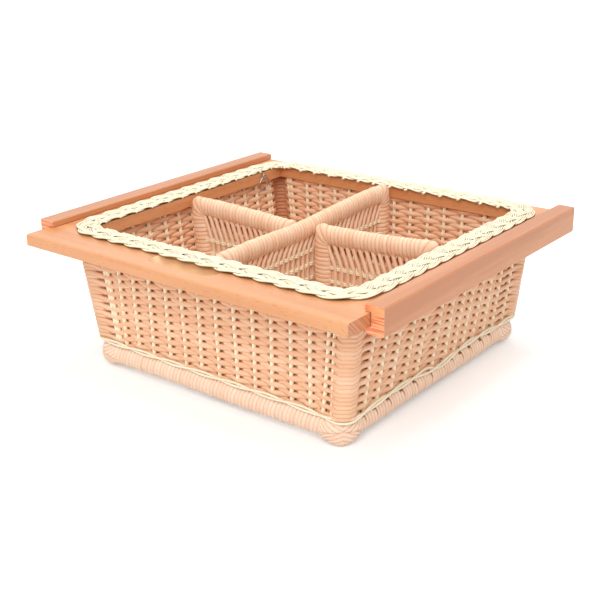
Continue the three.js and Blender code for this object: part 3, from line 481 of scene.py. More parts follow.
stakes = Surfaces()
for side, row in STAKES.items():
    for upper, lower in row:
        z = np.linspace(STAKE_FOOT, STAKE_TOP, 18)
        place = stake_place(upper, lower, np.minimum(z, WALL_TOP)) + STAKE_WANDER * np.sin(z / 23 + upper)
        cane(stakes, stake_point(side, place, z), (*INWARD[side], 0), STAKE_HALF_WIDTH, STAKE_HALF_DEPTH,
             sides=12, shade=flank_shade)
        start = stake_point(side, np.array([float(upper)]), np.array([TURN_HEIGHT]))[0]
        step = np.array([*INWARD[side], 0]) * TURN_REACH[side] - np.array([0, 0, TURN_DROP])
        turned = start + np.linspace(0, 1, 6)[:, None] * step
        cane(stakes, turned, (0, 0, 1), TURN_HALF_WIDTH, TURN_HALF_HEIGHT, sides=8)
wall_stakes = stakes.mesh_object("wall_stakes", stake_cane)
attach(wall_stakes, "basket")

# %% [markdown]
# ## Wall weave
#
# Each row of peach cane passes in front of one stake and behind the next, and the row above does the
# opposite. The side to side wave is a cosine whose phase grows by half a turn from stake to stake. Where
# two stakes stand as a pair the phase stays still, so a row passes both on the same side. Rows could be
# one long spiral, but closed loops look the same and are simpler to count.

# %% Wave of a row
# Places of a row's points between two stakes, as shares of the gap
SPAN_SHARES = np.array([0.0, 0.11, 0.21, 0.35, 0.5, 0.65, 0.79, 0.89])
# How much taller a row is at each distance from a stake, and the gap that a pair of stakes doesn't reach
SWELL_AWAY = (0.0, 3.1, 5.9, 9.8, 14.0)
SWELL_SIZE = (0.0, 0.6, 1.1, 0.7, 0.0)
WIDE_GAP = 12.0


def stake_phases(z):
    """Distances along the loop at a height, and phases, of all stakes in order round the wall."""
    half, front, rear = wall_plan(z)
    distances, phases, group = [], [], -1
    for side, direction in (("front", 1), ("right", 1), ("rear", -1), ("left", -1)):
        for upper, lower in STAKES[side][::direction]:
            if (side, upper) not in PAIRED:
                group += 1
            place = stake_place(upper, lower, z)
            distances.append(loop_distance(half, front, rear, CORNER_RADIUS, side, place))
            phases.append(np.pi * group)
    return np.array(distances), np.array(phases), group + 1


def row_wave(z):
    """Distances along a row, close together at the stakes, its swing from -1 to 1, and how much it swells.

    The cosine of the phase is squared with its sign kept, so a row runs flat between the stakes and moves
    out or in only beside them. Beside a stake the rows press together over the one that passes behind, so
    each is a little taller there, except between the two stakes of a pair.
    """
    places, phases, groups = stake_phases(z)
    total = loop_parts(*wall_plan(z), CORNER_RADIUS).sum()
    places = np.concatenate([places, [places[0] + total]])
    phases = np.concatenate([phases, [phases[0] + np.pi * groups]])
    number = np.arange(len(places) - 1)[:, None]
    distance = (places[number] + SPAN_SHARES * (places[number + 1] - places[number])).ravel()
    cosine = np.cos(np.interp(distance, places, phases))
    gap = np.repeat(np.diff(places), len(SPAN_SHARES))
    away = gap * np.tile(np.minimum(SPAN_SHARES, 1 - SPAN_SHARES), len(places) - 1)
    swell = np.interp(away, SWELL_AWAY, SWELL_SIZE) * (gap > WIDE_GAP)
    return distance, np.sign(cosine) * np.abs(cosine) ** 2.0, swell


print(stake_phases(LOW)[2], "turns of front and back in a row")

# %% [markdown]
# At the corners every row swings out past the corner, and the rows lie there in a plain stack. How much of
# a point belongs to the stack is a logistic step of its distance from the corner. The whole row also
# wanders by small closed waves, because no cane runs quite level.

# %% Corners and wander
# How far the stack at each corner lies past the corner, along the loop
CORNER_SHIFTS = (0.0, 0.0, 0.0, -7.0)
STACK_REACH, STACK_EDGE = 12.0, 2.2


def corner_share(half, front, rear, radius, distance):
    """1 in the middle of each rounded corner and 0 away from it, with a smooth change between."""
    lengths = loop_parts(half, front, rear, radius)
    starts = np.concatenate([[0], np.cumsum(lengths)])
    centres = (starts[1:-1:2] + starts[2::2]) / 2 + np.array(CORNER_SHIFTS)
    total = lengths.sum()
    away = np.abs((distance[:, None] - centres + total / 2) % total - total / 2).min(axis=1)
    return 1 / (1 + np.exp((away - STACK_REACH) / STACK_EDGE))


def smooth_random(count, waves, size):
    """A closed wandering line: a few sine waves with random phase."""
    angle = 2 * np.pi * np.arange(count) / count
    line = sum(rng.normal() * np.sin(wave * angle + rng.random() * 6.283) for wave in waves)
    return size * line / math.sqrt(len(waves))


print("a stack reaches", STACK_REACH, "mm to both sides of its corner")

# %% Rows
ROWS, ROW_PITCH, FIRST_ROW = 25, 5.72, 39.48
SWING, CORNER_SWING = 3.5, 8.3
HALF_THICKNESS, HALF_HEIGHT = 2.05, 3.05
# How much thicker and taller a row is in the corner stacks
STACK_THICKER, STACK_TALLER = 0.5, 0.3
# The lowest row is thicker at the corners, inward, so that it meets the border's roll there
FOOT_FILL = 4.9
OUTER_SHADE, INNER_SHADE, STACK_SHADE = 1.5, 0.35, 0.85


def row_shade(sunk, at_corner):
    """Shade of a row by the angle round it, which is 0 on its outer face.

    sunk is 1 where the row lies behind a stake, seen from outside, and -1 where it lies before one. The
    face that is turned to the stake is in the shade, dark outside and mild inside, as is the inside of a
    stack.
    """
    def shade(angle):
        outward = np.cos(angle)
        behind = np.clip(sunk * outward - 0.3, 0, 1)
        return (np.where(outward > 0, OUTER_SHADE, INNER_SHADE) * behind
                + STACK_SHADE * at_corner * (outward < -0.1))
    return shade


weavers = Surfaces()
for row in range(ROWS):
    z = FIRST_ROW + ROW_PITCH * row
    plan = wall_plan(z)
    distance, wave, swell = row_wave(z)
    point, normal = loop_points(*plan, CORNER_RADIUS, distance)
    swing = SWING * (1 + smooth_random(len(distance), (31, 47, 58), 0.05)) * (-1) ** (row + 1)
    at_corner = corner_share(*plan, CORNER_RADIUS, distance)
    fill = FOOT_FILL * at_corner if row == 0 else 0.0
    stand = swing * wave * (1 - at_corner) + CORNER_SWING * at_corner - fill
    path = np.zeros((len(distance), 3))
    path[:, :2] = point + normal * stand[:, None]
    path[:, 2] = z + smooth_random(len(distance), (5, 9, 23, 41), 0.16)
    sunk = -swing / SWING * wave * (1 - at_corner)
    cane(weavers, path, (0, 0, 1), HALF_THICKNESS + STACK_THICKER * at_corner + fill,
         HALF_HEIGHT + STACK_TALLER * at_corner + swell * (1 - at_corner),
         sides=8, closed=True, flat=0.8, shade=row_shade(sunk[:, None], at_corner[:, None]))
wall_weave = weavers.mesh_object("wall_weave", peach_cane)
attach(wall_weave, "basket")
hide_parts("front_weave", "right_weave", "rear_weave", "left_weave")
print(ROWS, "rows, the highest at", round(FIRST_ROW + ROW_PITCH * (ROWS - 1), 1), "mm")

# %% [markdown]
# ## Waling
#
# Two cream canes run round the foot of the weave, and twist about each other so that a small eye opens
# between them every second stake. Each is a path on the loop, with a height and a stand-off that swing in
# opposite directions. The band isn't level: it dips at the near corner, and where it is loose on the right
# side it sags and its eyes are wider. Smooth bumps along the loop give it that.

# %% Waling
WALING_HEIGHT, WALING_STAND, WALING_RADIUS = 40.3, 7.6, 1.55
# Half the distance between the two canes, up and outward
TWIST_UP, TWIST_OUT = 2.2, 1.1
WALING_STEPS = 700
EYES = 30


def loop_bump(distance, total, centre, reach):
    """A smooth bump along the loop: one at its centre, a third at its reach and soon nothing beyond."""
    away = (distance - centre + total / 2) % total - total / 2
    return np.exp(-((away / reach) ** 2))


waling = Surfaces()
plan = wall_plan(WALING_HEIGHT)
total = loop_parts(*plan, CORNER_RADIUS).sum()
distance = total * np.arange(WALING_STEPS) / WALING_STEPS
near_corner = loop_parts(*plan, CORNER_RADIUS)[0] + 10
loose = loop_distance(*plan, CORNER_RADIUS, "right", 20.0)
# Rises of the band: the place along the loop, the height and the reach of each
rises = ((near_corner, -3.6, 42), (near_corner + 120, 2.2, 60), (loose, -5.0, 26), (loose + 85, 3.4, 52))
lift = sum(height * loop_bump(distance, total, centre, reach) for centre, height, reach in rises)
wider = 1 + 1.1 * loop_bump(distance, total, loose - 18, 24)
point, normal = loop_points(*plan, CORNER_RADIUS, distance)
twist = np.pi * EYES * distance / total + 0.5
for sign in (-1, 1):
    stand = WALING_STAND + sign * TWIST_OUT * np.cos(twist)
    path = np.zeros((WALING_STEPS, 3))
    path[:, :2] = point + normal * stand[:, None]
    path[:, 2] = WALING_HEIGHT + lift + sign * TWIST_UP * wider * np.sin(twist)
    cane(waling, path, (0, 0, 1), WALING_RADIUS, WALING_RADIUS, closed=True)
waling_canes = waling.mesh_object("waling_canes", cream_cane)
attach(waling_canes, "basket")
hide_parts("waling_band")

# %% [markdown]
# ## Wrapped rolls
#
# The bottom border and the hoops of the partition are bundles of cane wrapped with a cane from end to end.
# Real wraps could be modelled one by one, but most of each would be hidden. Instead one oval skin is
# carried along the path, and it falls into a sharp crease between wraps: over one wrap the height follows
# a half circle. The rings are shifted along the path as they go round, which slants the wraps.

# %% Wrapped roll
WRAP = 6.0
# Rings of one wrap, as shares of its width, closest at the creases
WRAP_SHARES = np.array([0.0, 0.09, 0.26, 0.5, 0.74, 0.91])
WRAP_WANDER = 0.22
HOOK_DEPTH, HOOK_SHADE, HOOK_RINGS = 1.7, 2.2, range(-6, 2)


def interpolate(at, distance, values):
    """Each column of the values, read at distances along a path."""
    return np.stack([np.interp(at, distance, values[:, k]) for k in range(3)], axis=-1)


def cut_hooks(places, distance, share, angle, inset, crease):
    """Hooked grooves at the roll's outer upper edge: a run down a crease, and one across the wraps."""
    outside = np.cos(angle) > 0
    down = np.clip((np.sin(angle) + 0.1) / 0.5, 0, 1) * outside
    across = np.clip(1.4 - np.abs(np.sin(angle) - 0.72) / 0.14, 0, 1) * outside
    for place in places:
        # A hook ends at a ring in a crease: the others count as 9 mm further away
        nearest = np.argmin(np.abs(distance - place) + 9 * (share > 0))
        for step in HOOK_RINGS:
            zone = down if step > -2 else across * (0.6 if step == HOOK_RINGS[0] else 1.0)
            row = int(np.clip(nearest + step, 0, len(distance) - 1))
            inset[row] -= HOOK_DEPTH * zone
            # Painted shade darkens the groove, up to dark brown
            crease[row] = np.clip(crease[row] + HOOK_SHADE * zone, 0, 2)


def wrapped_roll(surfaces, path, up, half_width, half_height, slant=0.0, around=24, depth=1.7, hooks=(),
                 wrap=WRAP, shade=1.0, squared=None):
    """A roll along a path with creases between wraps, of a depth and a shade.

    Slant is how far a wrap leads at the outer side, and hooks are the places of hooked grooves. squared
    gives the side that grows at a bend, 1 or -1, and how far it grows at each distance.
    """
    lengths = lengths_of(path)
    wraps = int(round(lengths[-1] / wrap))
    number = np.append(np.repeat(np.arange(wraps), len(WRAP_SHARES)), wraps)
    share = np.append(np.tile(WRAP_SHARES, wraps), 0.0)
    distance = (number + share) * lengths[-1] / wraps
    path = interpolate(distance, lengths, path)
    angle = 2 * np.pi * np.arange(around) / around
    at = np.clip(distance[:, None] + slant * np.sin(angle), 0, distance[-1])
    centre = interpolate(at, distance, path)
    aside, rise = path_frame(path, up)[1:]
    aside = unit(interpolate(at, distance, aside))
    rise = unit(interpolate(at, distance, rise))
    own = rng.normal(size=wraps + 1)
    bulge = np.sqrt(np.clip(1 - (2 * share - 1) ** 2, 0, 1)) - 1
    inset = np.broadcast_to((depth * bulge + WRAP_WANDER * own[number])[:, None], at.shape).copy()
    # Painted shade in the creases between wraps, as strong as shade says
    crease = shade * np.broadcast_to(np.clip(-1.15 * bulge - 0.1, 0, 1)[:, None], at.shape)
    cut_hooks(hooks, distance, share, angle, inset, crease)
    wide = half_width + inset
    high = half_height + inset
    if squared is not None:
        wide = wide + squared[1](at) * (squared[0] * np.cos(angle) > 0)
    points = centre + (wide * np.cos(angle))[..., None] * aside + (high * np.sin(angle))[..., None] * rise
    round_length = 2 * np.pi * max(half_width, half_height)
    own_length = (number[:, None] + angle[None, :] / (2 * np.pi)) * round_length
    place = np.stack(np.broadcast_arrays(own_length, share[:, None] * wrap, np.zeros(at.shape)), axis=-1)
    strand = np.modf(np.sin(number + 1) * 43.7)[0] % 1.0
    surfaces.add(points, place, strand[:, None], crease=crease)


print("a wrap is", WRAP, "mm wide and has", len(WRAP_SHARES), "rings")

# %% [markdown]
# ## Bottom border
#
# Four wrapped rolls, upright ovals in section, lie under the foot of the walls. Their places are read from
# the CAD's borders. On the left and right sides the ends of the stakes are tucked into the roll and leave
# short hooked grooves at its upper edge, and the wraps slant the other way.

# %% Bottom border
BORDER_HALF_WIDTH, BORDER_HALF_HEIGHT = 10.5, 15.0
BORDER_SLANT = 3.6
# How far before the corner a roll ends, inside the corner's binding
CORNER_IN = 24.0


def middle_of(node, axis):
    """The middle of a CAD node's box along an axis, in millimetres."""
    low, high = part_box(node)
    return (low[axis] + high[axis]) / 2 / MM


border_x = middle_of("right_border", 0)
border_front, border_rear = middle_of("front_border", 1), middle_of("rear_border", 1)
border_z = middle_of("front_border", 2)
BORDER_SIDES = {
    "front": ((-border_x + CORNER_IN, border_front), (border_x - CORNER_IN, border_front)),
    "right": ((border_x, border_front + CORNER_IN), (border_x, border_rear - CORNER_IN)),
    "rear": ((border_x - CORNER_IN, border_rear), (-border_x + CORNER_IN, border_rear)),
    "left": ((-border_x, border_rear - CORNER_IN), (-border_x, border_front + CORNER_IN)),
}
for side, (start, end) in BORDER_SIDES.items():
    share = np.linspace(0, 1, 160)[:, None]
    sag = 0.5 * np.sin(9 * share + len(side))
    path = np.concatenate([np.array(start) * (1 - share) + np.array(end) * share, border_z + sag], axis=1)
    roll = Surfaces()
    if side in ("left", "right"):
        near, far = sorted((start[1], end[1]))
        hooks = [abs(y - start[1]) for upper, y in STAKES[side] if near + 8 < y < far - 8]
        wrapped_roll(roll, path, (0, 0, 1), BORDER_HALF_WIDTH, BORDER_HALF_HEIGHT, slant=-BORDER_SLANT,
                     depth=1.6, hooks=hooks, shade=0.75)
    else:
        wrapped_roll(roll, path, (0, 0, 1), BORDER_HALF_WIDTH, BORDER_HALF_HEIGHT, slant=BORDER_SLANT,
                     depth=1.1, shade=0.5)
    piece = roll.mesh_object(f"{side}_border_roll", border_cane)
    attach(piece, "basket")
    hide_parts(f"{side}_border")

# %% [markdown]
# ## Corner bindings
#
# At each corner the borders are bound with bands of cane that cross over the corner. The binding is an
# oval elbow that is tallest at the corner and sinks to the height of the rolls at its two ends. Its skin
# is a grid along the elbow and round its section, and creases run across it in two directions that meet on
# the corner's edge, like the rafters of a roof.

# %% Corner bindings
BINDING_HALF_WIDTH, BINDING_HALF_HEIGHT = 13.2, 19.0
ELBOW_RADIUS, ELBOW_TAIL, ELBOW_STEP = 16.0, 14.0, 0.9
BINDING_AROUND = 96
BAND = 6.6
BAND_SLOPE = 0.95
# Where the bands of the two slopes are counted from, and how much closer the upper ones lie
LOWER_START, UPPER_START, UPPER_CLOSER = 40, 60, 1.05
# How much lower on top, higher at the underside and narrower a binding is at its ends
END_LOWER, END_HIGHER, END_NARROWER = 2.6, 8.4, 2.4
FLOOR_GAP = 0.1
# For each corner: its signs in plan, the ways in which the border leaves and arrives, and how far its
# underside stays above the floor
CORNERS = {
    "front_left": ((-1, -1), (1, 0), (0, 1), 4.0),
    "front_right": ((1, -1), (0, 1), (-1, 0), 0.0),
    "rear_right": ((1, 1), (-1, 0), (0, -1), 4.0),
    "rear_left": ((-1, 1), (0, -1), (1, 0), 2.0),
}


def elbow_path(corner, leaving, arriving):
    """A straight tail, a quarter turn and a second tail, in plan, round one corner of the border."""
    tail = np.arange(0, ELBOW_TAIL, ELBOW_STEP)
    arc = np.arange(0, np.pi / 2 + 1e-6, ELBOW_STEP / ELBOW_RADIUS)
    leaving, arriving = np.array(leaving, float), np.array(arriving, float)
    inner = corner + ELBOW_RADIUS * (leaving + arriving)
    first = corner + (ELBOW_RADIUS + ELBOW_TAIL - tail)[:, None] * arriving
    turned = inner - ELBOW_RADIUS * (np.cos(arc)[:, None] * leaving + np.sin(arc)[:, None] * arriving)
    last = corner + (ELBOW_RADIUS + ELBOW_STEP + tail)[:, None] * leaving
    return np.concatenate([first, turned, last])


def crossing_bands(climb, s):
    """Number of the band at each point, how far across it the point is, and how near the bands' meeting.

    Bands run down from the corner's edge on both sides. Above a soft line they slope the other way. The
    numbers of another side or slope are 17 or 41 higher, so no two bands share one.
    """
    far = np.abs(s)
    lower = (climb + BAND_SLOPE * far + LOWER_START) / BAND
    upper = (UPPER_CLOSER * climb - BAND_SLOPE * far + UPPER_START) / BAND
    on_top = 1 / (1 + np.exp(-(climb - 5 + 0.3 * far) * 1.6))
    bands = np.where(on_top > 0.5, upper, lower)
    number = np.floor(bands) + 17 * (s > 0) + 41 * (on_top > 0.5)
    return number, bands - np.floor(bands), np.exp(-(((on_top - 0.5) / 0.25) ** 2))


for name, (signs, leaving, arriving, lifted) in CORNERS.items():
    corner = np.array([signs[0] * border_x, border_front if signs[1] < 0 else border_rear])
    plan = elbow_path(corner, leaving, arriving)
    centre_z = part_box(f"{name}_corner_wrap")[1].z / MM - BINDING_HALF_HEIGHT - 0.3
    path = np.concatenate([plan, np.full((len(plan), 1), centre_z)], axis=1)
    aside, rise = path_frame(path, (0, 0, 1))[1:]
    # Distance from the middle of the elbow, and its size as a share of the whole
    s = lengths_of(path)[:, None]
    s = s - s[-1] / 2
    reach = np.abs(s) / np.abs(s).max()
    angle = 2 * np.pi * np.arange(BINDING_AROUND) / BINDING_AROUND
    climb = BINDING_HALF_HEIGHT * np.sin(angle)[None, :]
    number, share, meeting = crossing_bands(climb, s)
    bulge = np.sqrt(np.clip(1 - (2 * share - 1) ** 2, 0, 1)) - 1
    # Painted shade in the creases between bands and where the two slopes of bands meet
    crease = 1.25 * np.clip(np.clip(-1.7 * bulge - 0.45, 0, 1) + 0.6 * meeting, 0, 1)
    # A rounded band, a little higher or lower than its neighbours, sunk where bands meet and at both ends
    inset = 1.7 * bulge + np.sin(number * 12.9898) * 0.45 - 0.9 * meeting
    inset = inset - 1.5 * (1 - np.sqrt(np.clip((1 - reach) * 6, 0, 1)))
    high = BINDING_HALF_HEIGHT - np.where(climb > 0, END_LOWER * reach ** 1.5,
                                          lifted * (1 - reach) + END_HIGHER * reach)
    wide = BINDING_HALF_WIDTH - END_NARROWER * reach ** 2
    points = (path[:, None] + ((wide + inset) * np.cos(angle))[..., None] * aside[:, None]
              + ((high + inset) * np.sin(angle))[..., None] * rise[:, None])
    points[..., 2] = np.maximum(points[..., 2], FLOOR_GAP)
    place = np.stack(np.broadcast_arrays(s + 60 * number, share * BAND, np.zeros(share.shape)), axis=-1)
    binding = Surfaces()
    binding.add(points, place, np.modf(np.abs(np.sin(number * 7.31)) * 91.3)[0], crease=crease)
    piece = binding.mesh_object(f"{name}_corner_binding", border_cane)
    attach(piece, "basket")
    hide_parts(f"{name}_corner_wrap")

# %% [markdown]
# ## Rim plait
#
# A flat plait of five strands lies on the frame round the opening, and each strand is four thin canes side
# by side. In a plait of five, every strand swings from edge to edge once while it dips and rises four
# times, and the five follow each other a fifth of a turn apart. The strands linger at the inner edge and
# turn quickly at the outer one, which gives a smooth inner edge and a scalloped outer edge. Where a cane
# dips under its neighbours its underside is in their shade.

# %% Rim plait
PLAIT_TURNS, PLAIT_STRANDS = 11, 5
PLAIT_SWING, PLAIT_LIFT, PLAIT_CROWN = 11.9, 1.0, 0.3
PLAIT_LINGER = 1.45
# Places of the four canes across a strand, and half the width and height of each
PLAIT_CANES = (-3.9, -1.3, 1.3, 3.9)
PLAIT_CANE_HALF_WIDTH, PLAIT_CANE_HALF_HEIGHT = 1.28, 1.1
PLAIT_HALF_WIDTH, PLAIT_CORNER_RADIUS = 17.0, 40.0
PLAIT_STEPS = 600
braid_low, braid_high = np.array(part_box("rim_braid")) / MM
plait_z = braid_low[2] + PLAIT_LIFT + PLAIT_CANE_HALF_WIDTH
plait_loop = (braid_high[0] - PLAIT_HALF_WIDTH, braid_low[1] + PLAIT_HALF_WIDTH,
              braid_high[1] - PLAIT_HALF_WIDTH, PLAIT_CORNER_RADIUS)

plait = Surfaces()
total = loop_parts(*plait_loop).sum()
distance = total * np.arange(PLAIT_STEPS) / PLAIT_STEPS
point, normal = loop_points(*plait_loop, distance)
for strand in range(PLAIT_STRANDS):
    phase = 2 * np.pi * (PLAIT_TURNS * distance / total + strand / PLAIT_STRANDS) + np.pi / PLAIT_STRANDS
    swing = 2 * ((1 + np.sin(phase)) / 2) ** PLAIT_LINGER - 1
    middle = np.zeros((PLAIT_STEPS, 3))
    middle[:, :2] = point + normal * (PLAIT_SWING * swing)[:, None]
    middle[:, 2] = (plait_z + PLAIT_LIFT * np.sin((PLAIT_STRANDS - 1) * phase)
                    + PLAIT_CROWN * (1 - swing ** 2))
    aside = path_frame(middle, (0, 0, 1), closed=True)[1]
    for offset in PLAIT_CANES:
        wander = smooth_random(PLAIT_STEPS, (13, 29, 44), 0.35)
        path = middle + aside * (offset + wander)[:, None]
        path[:, 2] += smooth_random(PLAIT_STEPS, (17, 37), 0.15)
        # Painted shade on each cane's underside and in the grooves between the canes
        cane(plait, path, (0, 0, 1), PLAIT_CANE_HALF_WIDTH, PLAIT_CANE_HALF_HEIGHT, sides=6, closed=True,
             shade=lambda angle: 1.5 * np.clip(0.5 - np.sin(angle), 0, 1))
rim_plait = plait.mesh_object("rim_plait", cream_cane)
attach(rim_plait, "basket")
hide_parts("rim_braid")

# %% [markdown]
# ## Base
#
# The base is a mat of the same cane: ribs from front to rear, and weavers across them that pass over one
# rib and under the next.

# %% Base
BASE_RIBS, BASE_ROWS = 14, 62
RIB_HALF_WIDTH, RIB_HALF_HEIGHT = 2.3, 2.6
BASE_HALF_WIDTH, BASE_HALF_HEIGHT, BASE_SWING = 3.0, 2.1, 3.8
mat = Surfaces()
low, high = np.array(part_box("base_weave")) / MM
base_z = (low[2] + high[2]) / 2
for x in np.linspace(low[0], high[0], BASE_RIBS + 1)[1:-1]:
    y = np.linspace(low[1] + 1, high[1] - 1, 24)
    path = np.stack([np.full_like(y, x), y, np.full_like(y, base_z)], axis=-1)
    cane(mat, path, (0, 0, 1), RIB_HALF_WIDTH, RIB_HALF_HEIGHT)
for number, y in enumerate(np.linspace(low[1], high[1], BASE_ROWS + 1)[1:-1], start=1):
    x = np.linspace(low[0] + 1, high[0] - 1, 113)
    cosine = np.cos(np.pi * BASE_RIBS * (x - low[0]) / (high[0] - low[0])) * (-1) ** number
    wave = np.sign(cosine) * np.abs(cosine) ** 1.5
    path = np.stack([x, np.full_like(x, y), base_z + BASE_SWING * wave], axis=-1)
    cane(mat, path, (0, 0, 1), BASE_HALF_WIDTH, BASE_HALF_HEIGHT, sides=6)
base_mat = mat.mesh_object("base_mat", peach_cane)
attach(base_mat, "basket")
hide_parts("base_weave")

# %% [markdown]
# ## Partition
#
# The partition is three hoops, a long one from front to rear and a short one to each side, each wrapped
# like the border and filled with upright canes. Their cane is the walls' peach cane made paler, as painted
# light for the shade inside the basket. A hoop is drawn in its own plane, as a place along the divider and
# a height, and a function then puts it into space. Its top run isn't quite straight, so a bow is added to
# it.
# The hoop's outer side is squarer at the bends than its inner side.

# %% Hoop lines
ROLL_HALF_DEPTH, ROLL_HALF_WIDTH = 13.8, 9.3
BEND, BEND_STEPS = 16.0, 10
OUTER_CORNER = 13.0
FOOT = 21.4
HOOP_STEP = 2.0


def round_corner(before, corner, after):
    """Points of an arc that rounds a corner between two straight runs."""
    back, onward = unit(before - corner), unit(after - corner)
    half_angle = math.acos(float(back @ onward)) / 2
    centre = corner + unit(back + onward) * BEND / math.sin(half_angle)
    start = corner + back * BEND / math.tan(half_angle)
    end = corner + onward * BEND / math.tan(half_angle)
    share = np.linspace(0, 1, BEND_STEPS)[:, None]
    sweep = math.pi - 2 * half_angle
    return centre + (np.sin((1 - share) * sweep) * (start - centre)
                     + np.sin(share * sweep) * (end - centre)) / math.sin(sweep)


def flat_to_3d(line):
    """A line in a plane as a path in space, with zeros as the third number."""
    return np.concatenate([line, np.zeros((len(line), 1))], axis=1)


def hoop_line(first_post, last_post, bow):
    """A hoop's centre line in its own plane: up one post, over with a bow, and down the other.

    A post is its place at the top, its height, and its place at the foot. The line is divided evenly.
    """
    (from_top, from_height, from_foot), (to_top, to_height, to_foot) = first_post, last_post
    corners = [np.array(p, float) for p in ((from_foot, FOOT), (from_top, from_height), (to_top, to_height),
                                            (to_foot, FOOT))]
    path = flat_to_3d(np.concatenate([[corners[0]], round_corner(*corners[:3]), round_corner(*corners[1:]),
                                      [corners[3]]]))
    lengths = lengths_of(path)
    count = max(int(round(lengths[-1] / HOOP_STEP)), 2)
    line = interpolate(np.linspace(0, lengths[-1], count + 1), lengths, path)[:, :2]
    line[:, 1] += bow(line[:, 0]) * np.clip((line[:, 1] - 120) / 50, 0, 1) ** 2
    return line


def roof_of(line):
    """The height of a hoop's top run at a place along it, a little under its centre."""
    upper = line[line[:, 1] > 150]
    order = np.argsort(upper[:, 0])
    return lambda place: float(np.interp(place, upper[order, 0], upper[order, 1])) - 6.0


def bend_growth(line):
    """How far the outer side of a hoop stands beyond its round bend, at each distance along it.

    Seen from a bend's centre, the outer side is a rounded square: its sides stand at the bend's radius plus
    half the roll's depth, and its corner is a small arc. The growth is its distance less that of its sides.
    """
    distance = lengths_of(flat_to_3d(line))
    middles = [distance[np.argmax(line[:, 1] + sign * line[:, 0])] for sign in (-1, 1)]
    side, small = BEND + ROLL_HALF_DEPTH, OUTER_CORNER

    def growth(at):
        total = np.zeros_like(at)
        for middle in middles:
            angle = np.clip((at - middle) / BEND + np.pi / 4, 1e-3, np.pi / 2 - 1e-3)
            cos, sin = np.cos(angle), np.sin(angle)
            under = small ** 2 - (side - small) ** 2 * (1 - 2 * sin * cos)
            on_arc = (side - small) * (cos + sin) + np.sqrt(np.clip(under, 0, None))
            on_side = side / np.maximum(cos, sin)
            at_arc = side * np.minimum(sin / cos, cos / sin) > side - small
            total += np.where(at_arc, on_arc, on_side) - side
        return total
    return growth


print("partition foot at", FOOT, "mm, bends of", BEND, "mm")

# %% [markdown]
# A hoop is filled with upright canes in two layers. Near the top the uprights lean over and run up under
# the wraps of the hoop: those of the front layer lean one way, those of the back layer the other. Cream
# canes are paired round the uprights in level lines. Their wave is the cosine along the line with its
# corners squared, so that they lie flat on the uprights and cross quickly between them.

# %% Panel canes
CANE_PITCH = 10.9
UPRIGHT_HALF_WIDTH, UPRIGHT_HALF_DEPTH = 3.0, 2.15
# How far the uprights' layers stand off the middle, below and above the highest pair, and sway round pairs
LAYER_OFF, LAYER_OFF_TOP, LAYER_SWAY = 1.7, 3.0, 0.5
# The uprights start to lean above the highest pair, and lean over by this much
LEAN_START, LEAN_SIZE = 7.0, 15.0
PAIR_LINES, PAIR_STEP, PAIR_LOWEST = 20.0, 1.3, 8.0
PAIR_OFF, PAIR_SWING = 2.1, 2.9
PAIR_HALF_WIDTH, PAIR_HALF_HEIGHT = 1.25, 1.35
# Heights at which a panel's width is read: by its foot, about its middle, under the roof and at its top
BY_FOOT, MID_HEIGHT, UNDER_ROOF, PANEL_TOP = 25.0, 100.0, 185.0, 190.0
# How far an upright's end stays from the posts, and how far it runs into the hoop's roll
POST_GAP, INTO_ROLL = 3, 3


def add_uprights(surfaces, to_space, low_at, high_at, roof, first_pair, lean):
    """Uprights in two layers that lean apart near the roof, and the place of the first one.

    to_space turns a place along the panel, a stand-off and a height into a point. low_at and high_at give
    the panel's two ends at a height, and roof its upper edge at a place.
    """
    def across_at(height, share):
        return low_at(height) + share * (high_at(height) - low_at(height))

    top_width = high_at(PANEL_TOP) - low_at(PANEL_TOP)
    count = int(top_width // CANE_PITCH) - 1
    places = across_at(MID_HEIGHT, 0.5) + (np.arange(count + 1) - count / 2) * CANE_PITCH
    sideways = to_space(0.0, 1.0, 0.0) - to_space(0.0, 0.0, 0.0)
    waist = first_pair + LEAN_START
    for layer, shift in ((1, 0.0), (-1, CANE_PITCH / 2)):
        for place in places + shift:
            share = (place - low_at(PANEL_TOP)) / top_width
            if not 0.02 < share < 0.98:
                continue
            foot_place, waist_place = across_at(BY_FOOT, share), across_at(waist, share)
            top_place = waist_place - layer * lean * LEAN_SIZE
            top_place = np.clip(top_place, low_at(UNDER_ROOF) + POST_GAP, high_at(UNDER_ROOF) - POST_GAP)
            top = roof(top_place) + INTO_ROLL
            z = np.concatenate([np.linspace(FOOT, waist, 16), np.linspace(waist, top, 9)[1:]])
            bend = np.clip((z - waist + 3) / (top - waist + 3), 0, 1)
            along = np.interp(z, [FOOT, waist], [foot_place, waist_place])
            along = along + (top_place - waist_place) * bend + 0.35 * np.sin(z / 17 + place)
            sway = LAYER_SWAY * np.cos((z - first_pair) * 2 * np.pi / PAIR_LINES) * (z < waist)
            off = layer * (np.where(z < waist, LAYER_OFF, LAYER_OFF_TOP) + sway)
            # The inner side of a layer is in the shade of the other one, most where it leans
            depth = 0.2 + 1.4 * np.clip((bend[:, None] - 0.25) / 0.4, 0, 1)
            cane(surfaces, to_space(along, off, z), sideways, UPRIGHT_HALF_WIDTH + 0.4 * bend,
                 UPRIGHT_HALF_DEPTH,
                 shade=lambda angle: depth * np.clip(0.25 - layer * 1.2 * np.sin(angle), 0, 1))
    return places[0]


